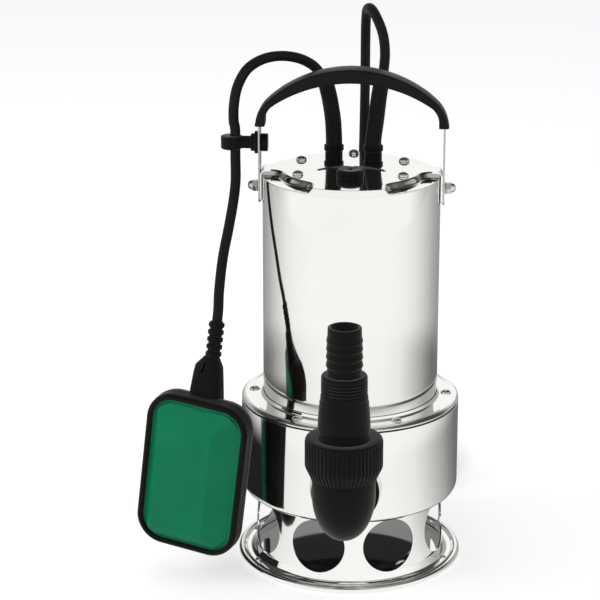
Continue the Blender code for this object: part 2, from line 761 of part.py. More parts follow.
def rotor_core():
    inner = SHAFT_R + 1.5 * MM + GAP
    outer = STATOR_BORE - AIR_GAP
    turned("rotor_core", ring_profile(outer, inner, STATOR_Z0 - 3 * MM, STATOR_Z1 + 3 * MM), "cast_iron",
           SEG_INNER)


def stator():
    rim = fits_inside(SHELL_BORE)
    wind = STATOR_BORE + 8 * MM
    top = STATOR_Z1 + 14 * MM
    low = STATOR_Z0 - 12 * MM
    profile = [(wind, top), (rim - 9 * MM, top - 2 * MM), (rim - 7 * MM, STATOR_Z1), (rim, STATOR_Z1),
               (rim, STATOR_Z0),
               (rim - 7 * MM, STATOR_Z0), (rim - 9 * MM, low + 2 * MM), (wind, low), (wind, STATOR_Z0),
               (STATOR_BORE, STATOR_Z0), (STATOR_BORE, STATOR_Z1), (wind, STATOR_Z1)]
    turned("stator", profile, "copper_core", SEG_INNER)


def motor_shell():
    profile = ring_profile(SHELL_R, SHELL_BORE, SHELL_BOTTOM, SHELL_TOP)
    turned("motor_shell", profile, "polished_steel")


# ---------------------------------------------------------------- lid

def plateau_outline(inset):
    """Disc with a lobe to each side, which folds down as a lug, and a wide lobe at the front."""
    disc = PLATEAU_R - inset
    half = LOBE_HALF - inset
    tip = LUG_X + LUG_T - inset
    front = FRONT_LOBE_R - inset
    root = math.degrees(math.asin(half / disc))
    front_root = math.degrees(math.asin((FRONT_LOBE_HALF - inset) / disc))
    front_end = math.degrees(math.asin((FRONT_LOBE_HALF - inset - LOBE_DRAFT) / front))
    hub = (0.0, 0.0)
    points = [(tip, -half + LOBE_DRAFT), (tip, half - LOBE_DRAFT)]
    points += arc(hub, disc, root, 180 - root, 10)
    points += [(-tip, half - LOBE_DRAFT), (-tip, -half + LOBE_DRAFT)]
    points += arc(hub, disc, 180 + root, 270 - front_root, 4)
    points += arc(hub, front, 270 - front_end, 270 + front_end, 6)
    points += arc(hub, disc, 270 + front_root, 360 - root, 4)
    return points


def top_lid():
    t = LID_SHEET
    low = LID_LEDGE - t
    rim = SHELL_R
    profile = [(0.0, LID_LEDGE), (rim - 2.2 * MM, LID_LEDGE), (rim - 0.6 * MM, LID_LEDGE - 0.35 * t),
               (rim, low), (SHELL_BORE - GAP, low), (SHELL_BORE - GAP, low - 4 * MM),
               (SHELL_BORE - GAP - t, low - 4 * MM), (SHELL_BORE - GAP - t, low), (0.0, low)]
    lid = turned("top_lid", profile, "stamped_steel", closed=False)
    height = LID_TOP - LID_LEDGE + 0.5 * t
    middle = LID_TOP - height / 2
    join(lid, outline("plateau", plateau_outline(0.0), height, place=Matrix.Translation((0, 0, middle))))
    for side in (-1, 1):
        near = LUG_X * side
        far = (LUG_X + LUG_T - 0.5 * LOBE_DRAFT) * side
        half = LOBE_HALF - 2 * LOBE_DRAFT
        join(lid, box("lug_%d" % (side + 1), (min(near, far), -half, LID_TOP - LUG_DROP),
                      (max(near, far), half, LID_TOP - 1.2 * t)))
        cut(lid, cylinder("lug_hole_%d" % (side + 1), (side * (LUG_X - 0.2 * MM), 0, PIVOT_Z),
                          (side * (LUG_X + 5 * MM), 0, PIVOT_Z), BOLT_R + GAP, segments=12))
    ribs = rib_outline()
    join(lid, outline("arc_rib", ribs, RIB_H + 0.4 * t,
                      place=Matrix.Translation((0, 0, LID_TOP + RIB_H / 2 - 0.2 * t))))
    hollow = outline("plateau_hollow", plateau_outline(4.5 * t), LID_TOP - t - low + 3 * MM,
                     place=Matrix.Translation((0, 0, (LID_TOP - t + low - 3 * MM) / 2)))
    cut(lid, hollow)
    for i in range(LID_SCREWS):
        spot = polar(LID_SCREW_R, lid_screw_angle(i))
        cut(lid, cylinder("lid_hole_%d" % i, spot + Vector((0, 0, LID_TOP - 3 * MM)),
                          spot + Vector((0, 0, LID_TOP + 3 * MM)), SCREW_SHANK_R + HOLE_CLEAR,
                          segments=SEG_SCREW))


def lid_screw_angle(index):
    return TAU * (index + 0.5) / LID_SCREWS


def rib_outline():
    outer = []
    inner = []
    for k in range(11):
        angle = math.pi / 2 + RIB_HALF_ANGLE * (2 * k / 10 - 1)
        centre = Vector((0.0, VENT_Y, 0.0))
        outer.append(tuple((centre + polar(RIB_R + RIB_W / 2, angle)).xy))
        inner.append(tuple((centre + polar(RIB_R - RIB_W / 2, angle)).xy))
    return outer + inner[::-1]


def lid_screws():
    for i in range(LID_SCREWS):
        pan_screw("lid_screw_%d" % (i + 1), polar(LID_SCREW_R, lid_screw_angle(i)), LID_TOP + GAP, 7 * MM)


def vent_plug():
    low = LID_TOP + GAP
    top = low + VENT_H
    profile = [(0.0, top - 1.5 * MM), (VENT_R * 0.55, top - 1.5 * MM), (VENT_R * 0.62, top),
               (VENT_R * 0.88, top),
               (VENT_R, top - 1.2 * MM), (VENT_R, low), (0.0, low)]
    turned("vent_plug", profile, "black_plastic", SEG_INNER, closed=False,
           place=Matrix.Translation((0, VENT_Y, 0)))


def cable_glands():
    for name, side in (("float_cable_gland", -1), ("power_cable_gland", 1)):
        low = LID_GLAND_Z
        top = low + GLAND_H
        r = GLAND_R
        profile = [(0.0, top), (r * 0.86, top), (r * 0.94, top - 1.0 * MM), (r * 0.88, top - 2.2 * MM),
                   (r, top - 3.0 * MM), (r, top - 4.6 * MM), (r * 0.82, top - 5.6 * MM), (r * 0.82, low),
                   (0.0, low)]
        turned(name, profile, "black_plastic", 16, closed=False,
               place=Matrix.Translation((side * GLAND_X, GLAND_Y, 0)))


def sleeve_points(route):
    base = mm_points(route)
    base[0] = Vector((base[0].x, base[0].y, LID_GLAND_Z + GLAND_H + GAP))
    straight = base[0] + Vector((0, 0, 2 * SLEEVE_R * 0.5))
    return [base[0]] + smooth_route([straight] + base[1:], 9 * MM)


def cable_sleeves():
    tube("float_cable_sleeve", sleeve_points(FLOAT_SLEEVE_ROUTE), SLEEVE_R, "cable_rubber")
    tube("power_cable_sleeve", sleeve_points(POWER_SLEEVE_ROUTE), SLEEVE_R, "cable_rubber")


# ---------------------------------------------------------------- handle

def straps():
    half = STRAP_W / 2
    top = GRIP_END_Z + STRAP_IN_GRIP
    round_r = 5.0 * MM
    for name, side in (("strap_left", -1), ("strap_right", 1)):
        points = [(half, top), (-half, top)]
        points += arc((-half + round_r, STRAP_BOTTOM + round_r), round_r, 180, 270, 3)
        points += arc((half - round_r, STRAP_BOTTOM + round_r), round_r, -90, 0, 3)
        middle = side * (STRAP_X + STRAP_T / 2)
        place = Matrix(((0, 0, 1, middle), (1, 0, 0, 0), (0, 1, 0, 0), (0, 0, 0, 1)))
        strap = outline(name, points, STRAP_T, "polished_steel", place)
        cut(strap, cylinder("pivot_hole_" + name, (side * (STRAP_X - 2 * MM), 0, PIVOT_Z),
                            (side * (STRAP_OUT + 2 * MM), 0, PIVOT_Z), BOLT_R + GAP, segments=12))
        if side < 0:
            cut(strap,
                cylinder("clip_hole", (-STRAP_X + 2 * MM, 0, CLIP_Z), (-STRAP_OUT - 2 * MM, 0, CLIP_Z),
                                CLIP_STEM_R + GAP, segments=12))


def grip_edge(radius, crest, span, switch, steps, turn_steps):
    """Right half of one edge of the arch: a wide arc that turns down through a tighter one."""
    centre = crest - radius
    angle = math.radians(switch)
    x = radius * math.sin(angle)
    small = (span - x) / (1.0 - math.sin(angle))
    hub = (x - small * math.sin(angle), centre + (radius - small) * math.cos(angle))
    points = []
    for k in range(steps + 1):
        a = angle * k / steps
        points.append((radius * math.sin(a), centre + radius * math.cos(a)))
    for k in range(1, turn_steps + 1):
        a = angle + (math.pi / 2 - angle) * k / turn_steps
        points.append((hub[0] + small * math.sin(a), hub[1] + small * math.cos(a)))
    while points[-1][1] < GRIP_END_Z:
        points.pop()
    points.append((span, GRIP_END_Z))
    return points


def evenly(points, count):
    """Points that cut a flat line into equal lengths."""
    lengths = [0.0]
    for (x0, z0), (x1, z1) in zip(points, points[1:]):
        lengths.append(lengths[-1] + math.hypot(x1 - x0, z1 - z0))
    result = []
    j = 0
    for k in range(count + 1):
        goal = lengths[-1] * k / count
        while j < len(points) - 2 and lengths[j + 1] < goal:
            j += 1
        share = min((goal - lengths[j]) / max(lengths[j + 1] - lengths[j], 1e-9), 1.0)
        (x0, z0), (x1, z1) = points[j], points[j + 1]
        result.append((x0 + (x1 - x0) * share, z0 + (z1 - z0) * share))
    return result


def grip_section(tall):
    """Across the grip: square to the fingers, rounded at the palm; (depth, height above the inner edge)."""
    half = GRIP_DEPTH / 2
    r = GRIP_ROUND
    small = 0.35 * r
    points = [(-half, small), (-half + small, 0.0), (half - small, 0.0), (half, small)]
    points += [(half - r + r * math.cos(a), tall - r + r * math.sin(a)) for a in (0.0, TAU / 8, TAU / 4)]
    points += [(-half + r - r * math.cos(a), tall - r + r * math.sin(a)) for a in (TAU / 4, TAU / 8, 0.0)]
    return points


def grip():
    """Arched grip, lofted through sections that stand between its inner and its outer edge."""
    outer = evenly(grip_edge(GRIP_OUTER_R, GRIP_CREST, GRIP_HALF_SPAN, 42.0, 14, 8), GRIP_SECTIONS)
    inner = evenly(grip_edge(GRIP_INNER_R, GRIP_CREST - GRIP_THICK, GRIP_INNER_SPAN, 33.2, 14, 8),
                   GRIP_SECTIONS)
    pairs = [((-o[0], o[1]), (-i[0], i[1])) for o, i in zip(outer[:0:-1], inner[:0:-1])]
    pairs += list(zip(outer, inner))
    shape = bmesh.new()
    rings = []
    for (xo, zo), (xi, zi) in pairs:
        tall = math.hypot(xo - xi, zo - zi)
        across = ((xo - xi) / tall, (zo - zi) / tall)
        rings.append([shape.verts.new((xi + across[0] * t, y, zi + across[1] * t))
                      for y, t in grip_section(tall)])
    for first, second in zip(rings, rings[1:]):
        for k in range(len(first)):
            n = (k + 1) % len(first)
            shape.faces.new((first[k], first[n], second[n], second[k]))
    shape.faces.new(rings[0])
    shape.faces.new(rings[-1])
    bmesh.ops.recalc_face_normals(shape, faces=shape.faces)
    mesh = bpy.data.meshes.new("grip")
    shape.to_mesh(mesh)
    shape.free()
    smooth(mesh)
    handle = add_object("grip", mesh, "grip_plastic")
    for side in (-1, 1):
        near = side * (STRAP_X - GAP)
        far = side * (STRAP_OUT + GAP)
        half = STRAP_W / 2 + GAP
        cut(handle, box("grip_slot_%d" % (side + 1), (min(near, far), -half, GRIP_END_Z - 5 * MM),
                        (max(near, far), half, GRIP_END_Z + STRAP_IN_GRIP + GAP)))


def pivot_bolts():
    for name, side in (("pivot_bolt_left", -1), ("pivot_bolt_right", 1)):
        seat = STRAP_OUT + GAP
        across = NUT_FLATS / math.sqrt(3.0)
        bolt = cylinder(name, (side * seat, 0, PIVOT_Z), (side * (seat + NUT_H), 0, PIVOT_Z), across,
                        "screw_steel", segments=6)
        join(bolt, cylinder("dome_" + name, (side * (seat + NUT_H - MM), 0, PIVOT_Z),
                            (side * (seat + NUT_H + NUT_DOME), 0, PIVOT_Z), NUT_FLATS * 0.46,
                            segments=12, end_radius=NUT_FLATS * 0.24))
        join(bolt, cylinder("shank_" + name, (side * (LUG_X + GAP * 0.5), 0, PIVOT_Z),
                            (side * (seat + MM), 0, PIVOT_Z), BOLT_R, segments=12))


def cable_clip():
    half = CLIP_HEIGHT / 2
    disc = STRAP_OUT + GAP
    disc_out = disc + 2.7 * MM
    step_out = disc_out + 2.8 * MM
    clip = cylinder("cable_clip", (CLIP_RING_X, 0, CLIP_Z - half), (CLIP_RING_X, 0, CLIP_Z + half),
                    CLIP_RING_R,
                    "black_plastic", segments=20)
    join(clip,
         cylinder("clip_arm", (CLIP_RING_X + 3 * MM, 0, CLIP_Z), (-step_out + MM, 0, CLIP_Z), half * 0.98,
                        segments=16))
    join(clip, cylinder("clip_step", (-step_out, 0, CLIP_Z), (-disc_out + MM, 0, CLIP_Z), CLIP_STEP_R,
                        segments=16))
    join(clip, cylinder("clip_disc", (-disc_out, 0, CLIP_Z), (-disc, 0, CLIP_Z), CLIP_DISC_R, segments=20))
    join(clip, cylinder("clip_stem", (-disc - MM, 0, CLIP_Z), (-STRAP_X + 3.5 * MM, 0, CLIP_Z), CLIP_STEM_R,
                        segments=12))
    cut(clip,
        cylinder("clip_bore", (CLIP_CABLE_X, 0, CLIP_Z - 10 * MM), (CLIP_CABLE_X, 0, CLIP_Z + 10 * MM),
                       CABLE_R + GAP, segments=16))
    face = -STRAP_X + GAP
    cap = cylinder("clip_cap", (face, 0, CLIP_Z), (face + CLIP_CAP_T, 0, CLIP_Z), CLIP_CAP_R,
                   "black_plastic",
                   segments=20)
    cut(cap, cylinder("cap_bore", (face - MM, 0, CLIP_Z), (-STRAP_X + 3.5 * MM + GAP, 0, CLIP_Z),
                      CLIP_STEM_R + GAP, segments=12))


# ---------------------------------------------------------------- outlet

def outlet_elbow():
    face = -(BOSS_FACE + GAP + COLLAR_T + GAP)
    elbow = cylinder("outlet_elbow", (0, OUTLET_Y, OUTLET_Z), (0, OUTLET_Y, ELBOW_SHOULDER), ELBOW_R,
                     "black_plastic", segments=SEG_OUTLET)
    join(elbow, cylinder("elbow_thread", (0, OUTLET_Y, ELBOW_SHOULDER - MM), (0, OUTLET_Y, ELBOW_TOP),
                         ELBOW_THREAD_R, segments=SEG_OUTLET))
    join(elbow, ball("elbow_ball", (0, OUTLET_Y, OUTLET_Z), ELBOW_BALL_R, segments=22, rings=11))
    join(elbow, cylinder("elbow_neck", (0, OUTLET_Y, OUTLET_Z), (0, face, OUTLET_Z), NECK_R,
                         segments=SEG_OUTLET))
    join(elbow,
         cylinder("elbow_spigot", (0, face - MM, OUTLET_Z), (0, -DRUM_R + 3 * MM, OUTLET_Z), SPIGOT_R,
                         segments=SEG_OUTLET))
    cut(elbow,
        cylinder("elbow_bore_up", (0, OUTLET_Y, OUTLET_Z), (0, OUTLET_Y, ELBOW_TOP + 5 * MM), NECK_BORE,
                        segments=12))
    cut(elbow, ball("elbow_bore_ball", (0, OUTLET_Y, OUTLET_Z), NECK_BORE * 1.03, segments=14, rings=7))
    cut(elbow,
        cylinder("elbow_bore_in", (0, OUTLET_Y, OUTLET_Z), (0, -DRUM_R + 8 * MM, OUTLET_Z), NECK_BORE,
                        segments=12))


def outlet_collar():
    inner = SPIGOT_R + GAP
    profile = [(inner, COLLAR_T), (COLLAR_R - 1.5 * MM, COLLAR_T), (COLLAR_R, COLLAR_T - 1.5 * MM),
               (COLLAR_R, 0.0),
               (inner, 0.0)]
    place = Matrix.Translation((0, -BOSS_FACE - GAP, OUTLET_Z)) @ Matrix.Rotation(math.pi / 2, 4, "X")
    turned("outlet_collar", profile, "black_plastic", SEG_OUTLET, place=place)


def union_nut():
    place = outlet_place()
    bore = ELBOW_THREAD_R + 2 * GAP
    wall = NUT_TOP - NUT_TOP_WALL
    profile = [(NUT_HOLE_R, NUT_TOP - 0.6 * MM), (NUT_R - 3.2 * MM, NUT_TOP - 0.6 * MM),
               (NUT_ROOT_R - 0.4 * MM, NUT_TOP - 3.0 * MM), (NUT_ROOT_R - 0.4 * MM, NUT_RIB_BOTTOM),
               (NUT_BOTTOM_R, NUT_BOTTOM), (bore, NUT_BOTTOM), (bore, wall), (NUT_HOLE_R, wall)]
    nut = turned("union_nut", profile, "black_plastic", NUT_RIBS, place=place)
    star = []
    for k in range(2 * NUT_RIBS):
        radius = NUT_R if k % 2 else NUT_ROOT_R
        star.append(tuple(polar(radius, TAU * (k + 0.5) / (2 * NUT_RIBS)).xy))
    low = NUT_RIB_BOTTOM
    high = NUT_TOP - 2.2 * MM
    ribs = outline("nut_ribs", star, high - low, place=place @ Matrix.Translation((0, 0, (low + high) / 2)))
    cut(ribs, turned("nut_core", [(0.0, NUT_TOP + MM), (NUT_ROOT_R - 2 * MM, NUT_TOP + MM),
                                  (NUT_ROOT_R - 2 * MM, NUT_BOTTOM), (0.0, NUT_BOTTOM)],
                     None, NUT_RIBS, closed=False, place=place))
    join(nut, ribs)


def hose_adapter():
    """Stepped hose tail: a flange under the nut, a thread zone, and barbs up to the rim."""
    flange_z = ELBOW_TOP + GAP
    flange_top = NUT_TOP - NUT_TOP_WALL - GAP
    neck = ADAPTER_COLLAR_R
    profile = [(ADAPTER_BORE, ADAPTER_RIM_Z), (ADAPTER_RIM_R, ADAPTER_RIM_Z)]
    z = ADAPTER_RIM_Z - 8.0 * MM
    profile.append((ADAPTER_RIM_R, z))
    for k in range(BARBS):
        z -= 0.4 * BARB_PITCH
        profile.append((BARB_R, z))
        z -= 0.6 * BARB_PITCH
        profile.append((BARB_ROOT, z))
    shoulder = z - 0.6 * MM
    profile += [(ADAPTER_THREAD_R - 2.2 * MM, shoulder), (ADAPTER_THREAD_R, shoulder - 4.5 * MM),
                (ADAPTER_THREAD_R, 168.5 * MM), (neck - 0.3 * MM, 160 * MM), (neck, 152.5 * MM),
                (neck, flange_top), (ELBOW_THREAD_R, flange_top), (ELBOW_THREAD_R, flange_z),
                (NECK_BORE, flange_z),
                (NECK_BORE, 165 * MM), (ADAPTER_BORE + 2.5 * MM, shoulder - 4.5 * MM),
                (ADAPTER_BORE, shoulder + 3 * MM)]
    turned("hose_adapter", profile, "black_plastic", SEG_OUTLET, place=outlet_place())


# ---------------------------------------------------------------- float

def float_frame():
    """Placement of the float: local X to its right, local Z up its long side, local Y to its back."""
    turn = Matrix.Rotation(FLOAT_YAW, 4, "Z") @ Matrix.Rotation(FLOAT_LEAN, 4, "Y")
    return Matrix.Translation(FLOAT_FACE) @ turn @ Matrix.Translation((0, FLOAT_D / 2, 0))


def rounded_rectangle(width, height, corner, steps=4):
    points = []
    for cx, cz, start in ((1, 1, 0), (-1, 1, 90), (-1, -1, 180), (1, -1, 270)):
        hub = (cx * (width / 2 - corner), cz * (height / 2 - corner))
        points += arc(hub, corner, start, start + 90, steps)
    return points


def face_place(depth):
    """Lay a flat outline across the float, at a depth along its local Y."""
    lay = Matrix(((1, 0, 0, 0), (0, 0, -1, depth), (0, 1, 0, 0), (0, 0, 0, 1)))
    return float_frame() @ lay


def float_case():
    rim = FLOAT_RIM
    frame = outline("float_case", rounded_rectangle(FLOAT_W, FLOAT_H, FLOAT_CORNER), FLOAT_FRAME_D,
                    "black_plastic", face_place(0.0), edge=1.5 * MM)
    cut(frame,
        outline("float_inside", rounded_rectangle(FLOAT_W - 2 * rim, FLOAT_H - 2 * rim, FLOAT_CORNER - rim),
                       FLOAT_D + 6 * MM, place=face_place(0.0)))


def float_panels():
    rim = FLOAT_RIM + GAP
    for name, side in (("float_panel_front", -1), ("float_panel_back", 1)):
        outline(name, rounded_rectangle(FLOAT_W - 2 * rim, FLOAT_H - 2 * rim, FLOAT_CORNER - rim), PANEL_T,
                "float_green", face_place(side * (FLOAT_D - PANEL_T) / 2), edge=2.0 * MM)


def switch_top():
    return FLOAT_H / 2 - FLOAT_RIM - GAP


def float_switch():
    top = switch_top()
    low = top - SWITCH_L
    bore = BALL_R + 0.6 * MM
    profile = [(0.0, low + 2.5 * MM), (bore, low + 2.5 * MM), (bore, top), (SWITCH_R, top),
               (SWITCH_R, low + MM), (SWITCH_R - MM, low), (0.0, low)]
    turned("float_switch", profile, "grip_plastic", 16, closed=False, place=float_frame())


def switch_ball():
    rest = switch_top() - SWITCH_L + 2.5 * MM + GAP + BALL_R
    ball("switch_ball", float_frame() @ Vector((0, 0, rest)), BALL_R, "shaft_steel", 12, 8)


def strain_relief():
    """Ribbed sleeve that flows into the flat neck of the float."""
    top = Vector(RELIEF_TOP)
    bottom = Vector(RELIEF_BOTTOM)
    line = bottom - top
    points = [top, top + line * 0.06]
    radii = [RELIEF_ROOT_R, RELIEF_ROOT_R]
    pitch = 0.94 / RELIEF_RIBS
    for k in range(RELIEF_RIBS):
        start = 0.06 + pitch * k
        for share, radius in ((0.10, RELIEF_RIB_R), (0.78, RELIEF_RIB_R), (0.88, RELIEF_ROOT_R),
                              (1.0, RELIEF_ROOT_R)):
            points.append(top + line * (start + pitch * share))
            radii.append(radius)
    points.append(bottom + line.normalized() * 3 * MM)
    radii.append(RELIEF_ROOT_R)
    sleeve = settle(tube("relief_ribs", points, RELIEF_RIB_R, "black_plastic", 2, radii))
    frame = float_frame()
    base = FLOAT_H / 2 + GAP
    local = frame.inverted() @ bottom
    x = local.x
    high = local.z + 2 * MM
    shape = [(x - 4.8 * MM, high), (x - 12.5 * MM, high - 5.5 * MM), (x - 16.0 * MM, base + 6 * MM),
             (x - 17.5 * MM, base), (x + 7.5 * MM, base), (x + 7.5 * MM, high - 4 * MM),
             (x + 4.8 * MM, high)]
    neck = outline("float_strain_relief", shape, NECK_T, "black_plastic", face_place(local.y),
                   edge=0.8 * MM)
    slot = [(x - 5.5 * MM, base + 5 * MM), (x - 2.0 * MM, base + 5 * MM), (x - 2.0 * MM, base + 13 * MM),
            (x - 5.5 * MM, base + 13 * MM)]
    cut(neck, outline("neck_slot", slot, 3 * NECK_T, place=face_place(local.y)))
    join(neck, sleeve)
    PARTS.objects.unlink(sleeve)
    CUTTERS.objects.link(sleeve)
    sleeve.hide_render = True
    sleeve.display_type = "WIRE"


# ---------------------------------------------------------------- cords

def float_cables():
    sleeve_end = mm_points(FLOAT_SLEEVE_ROUTE)[-1]
    along = (sleeve_end - mm_points(FLOAT_SLEEVE_ROUTE)[-2]).normalized()
    start = sleeve_end + along * GAP
    clip_top = Vector((CLIP_CABLE_X, 0, CLIP_Z + CLIP_HEIGHT / 2 + GAP))
    route = [start + along * COIL_STRAND] + mm_points(FLOAT_UPPER_ROUTE)
    route.append(clip_top + Vector((0, 0, COIL_STRAND)))
    points = [start] + smooth_route(route, 2.4 * COIL_STRAND) + [clip_top]
    tube("float_cable_upper", points, CABLE_R, "cable_rubber")
    relief = Vector(RELIEF_TOP)
    line = (relief - Vector(RELIEF_BOTTOM)).normalized()
    end = relief + line * GAP
    clip_low = Vector((CLIP_CABLE_X, 0, CLIP_Z - CLIP_HEIGHT / 2 - GAP))
    route = [clip_low - Vector((0, 0, COIL_STRAND))] + mm_points(FLOAT_LOWER_ROUTE)
    route.append(end + line * COIL_STRAND)
    points = [clip_low] + smooth_route(route, 2.4 * COIL_STRAND) + [end]
    tube("float_cable_lower", points, CABLE_R, "cable_rubber")


def coil_start():
    return Vector((COIL_CENTRE[0], COIL_CENTRE[1] - COIL_OUTER_R, CABLE_R + GAP))


def power_cord():
    sleeve = mm_points(POWER_SLEEVE_ROUTE)
    along = (sleeve[-1] - sleeve[-2]).normalized()
    start = sleeve[-1] + along * GAP
    end = coil_start() - Vector((COIL_STRAND + GAP, 0, 0))
    route = [start + along * COIL_STRAND] + mm_points(POWER_ROUTE) + [end - Vector((COIL_STRAND, 0, 0))]
    points = [start] + smooth_route(route, 2.4 * COIL_STRAND) + [end]
    tube("power_cord", points, CABLE_R, "cable_rubber")


def ease(share):
    share = min(max(share, 0.0), 1.0)
    return share * share * (3 - 2 * share)


def coil_path():
    """Loops that spiral in and out, climb a layer at each turn back, and lead up to the plug."""
    loops = COIL_LAYERS * COIL_LOOPS_PER_LAYER
    start = coil_start()
    points = [start - Vector((COIL_STRAND, 0, 0))]
    total = round(loops * COIL_POINTS)
    centre = Vector((COIL_CENTRE[0], COIL_CENTRE[1], 0.0))
    for k in range(total + 1):
        s = k / COIL_POINTS
        phase = s % (2 * COIL_LOOPS_PER_LAYER)
        inward = min(phase, 2 * COIL_LOOPS_PER_LAYER - phase)
        radius = COIL_OUTER_R - COIL_PITCH * inward
        layer = 0.0
        for turn in range(1, COIL_LAYERS):
            layer += min(max((s - turn * COIL_LOOPS_PER_LAYER) * 2.0 + 0.5, 0.0), 1.0)
        angle = -math.pi / 2 + TAU * s
        points.append(centre + polar(radius, angle, start.z + layer * COIL_PITCH))
    top = points[-1].z
    steps = COIL_POINTS // 2
    for k in range(1, steps + 1):
        share = k / steps
        radius = COIL_OUTER_R + (LEAD_INNER_R - COIL_OUTER_R) * ease((share - 0.3) / 0.7)
        angle = -math.pi / 2 + TAU * (loops + 0.5 * share)
        points.append(centre + polar(radius, angle, top + LEAD_LIFT * ease(share / 0.6)))
    last = -math.pi / 2 + TAU * (loops + 0.5)
    heading = polar(1.0, last + math.pi / 2)
    points.append(points[-1] + heading * COIL_STRAND)
    return points, heading


def least_gap(points, strand):
    """Least clear distance between lengths of the coil that aren't neighbours along it."""
    least = 1.0
    for i, a in enumerate(points):
        for b in points[i + COIL_POINTS // 2:]:
            least = min(least, (a - b).length)
    return least - strand


def power_cord_coil():
    points, heading = coil_path()
    tube("power_cord_coil", points, CABLE_R, "cable_rubber", resolution=1)
    print("least gap of the coil to itself: %.2f mm" % (least_gap(points, COIL_STRAND) / MM))
    return points[-1], heading


def power_plug(end, heading):
    """Round mains plug that lies on the coil, with two pins."""
    r = PLUG_R
    profile = [(0.0, PLUG_L), (r * 0.92, PLUG_L), (r, PLUG_L - 2 * MM), (r, PLUG_L - 16 * MM),
               (r * 0.8, 14 * MM),
               (CABLE_R * 1.9, 6 * MM), (CABLE_R * 1.6, 0.0), (0.0, 0.0)]
    side = Vector((0, 0, 1)).cross(heading)
    place = Matrix((
        (side.x, 0, heading.x, 0), (side.y, 0, heading.y, 0), (side.z, 1, heading.z, 0), (0, 0, 0, 1)))
    if place.to_3x3().determinant() < 0:
        place = Matrix((
            (-side.x, 0, heading.x, 0), (-side.y, 0, heading.y, 0), (-side.z, 1, heading.z, 0),
            (0, 0, 0, 1)))
    place = Matrix.Translation(end + heading * GAP) @ place
    plug = turned("power_plug", profile, "black_plastic", 16, closed=False, place=place)
    for k, offset in enumerate((-9.5 * MM, 9.5 * MM)):
        base = place @ Vector((offset, 0, PLUG_L - MM))
        tip = place @ Vector((offset, 0, PLUG_L + PIN_L))
        join(plug, cylinder("plug_pin_%d" % k, base, tip, PIN_R, segments=8))


def build():
    clear_scene()
    base_plate()
    strainer_skirt()
    base_screws()
    suction_plate()
    pump_housing()
    volute_casing()
    impeller()
    housing_cover()
    cover_screws()
    motor_flange()
    shaft_seal()
    bearings()
    bearing_bracket()
    rotor_shaft()
    rotor_core()
    stator()
    motor_shell()
    top_lid()
    lid_screws()
    vent_plug()
    cable_glands()
    cable_sleeves()
    straps()
    grip()
    pivot_bolts()
    cable_clip()
    outlet_elbow()
    outlet_collar()
    union_nut()
    hose_adapter()
    float_case()
    float_panels()
    float_switch()
    switch_ball()
    strain_relief()
    float_cables()
    power_cord()
    end, heading = power_cord_coil()
    power_plug(end, heading)


build()
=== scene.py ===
import math

import bmesh
import bpy
from mathutils import Matrix, Vector


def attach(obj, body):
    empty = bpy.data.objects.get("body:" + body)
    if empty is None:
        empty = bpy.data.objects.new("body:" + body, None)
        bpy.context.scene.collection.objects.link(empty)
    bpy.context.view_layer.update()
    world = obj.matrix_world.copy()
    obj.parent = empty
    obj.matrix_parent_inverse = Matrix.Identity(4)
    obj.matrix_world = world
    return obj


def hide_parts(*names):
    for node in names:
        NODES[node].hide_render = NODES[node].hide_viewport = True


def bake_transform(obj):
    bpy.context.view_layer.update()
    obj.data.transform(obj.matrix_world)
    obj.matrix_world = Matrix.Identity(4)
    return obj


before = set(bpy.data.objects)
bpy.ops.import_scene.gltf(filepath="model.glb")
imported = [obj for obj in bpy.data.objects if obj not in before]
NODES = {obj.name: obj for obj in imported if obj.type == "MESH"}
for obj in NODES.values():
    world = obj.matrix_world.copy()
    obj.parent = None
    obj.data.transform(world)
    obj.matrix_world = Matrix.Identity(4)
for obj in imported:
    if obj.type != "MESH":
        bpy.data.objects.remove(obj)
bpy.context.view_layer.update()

MM = 0.001
TAU = 2.0 * math.pi
SCENE = bpy.context.scene

# sizes shared with the solids, in millimetres
CABLE_R = 3.85
OUTLET_Y = -115.8
OUTLET_Z = 83.5
PIVOT_Z = 295.0
CLIP_Z = 328.0
CLIP_CABLE_X = -87.2
STRAP_MIDDLE_X = 68.95
STRAINER_TURN = math.radians(5.0)
GAP = 0.3
OUTLET_PLACE = Matrix.Translation((0.0, OUTLET_Y, 0.0))


# -------- camera

def make_camera():
    looks_down, turned = 17.636, 3.4
    data = bpy.data.cameras.new("camera")
    data.lens = 133.14
    data.sensor_width = 36.0
    data.clip_start = 0.05
    data.clip_end = 50.0
    camera = bpy.data.objects.new("camera", data)
    camera.location = (0.0570, -1.6111, 0.7179)
    camera.rotation_euler = (math.radians(90.0 - looks_down), 0.0, math.radians(turned))
    SCENE.collection.objects.link(camera)
    SCENE.camera = camera


make_camera()


# -------- materials

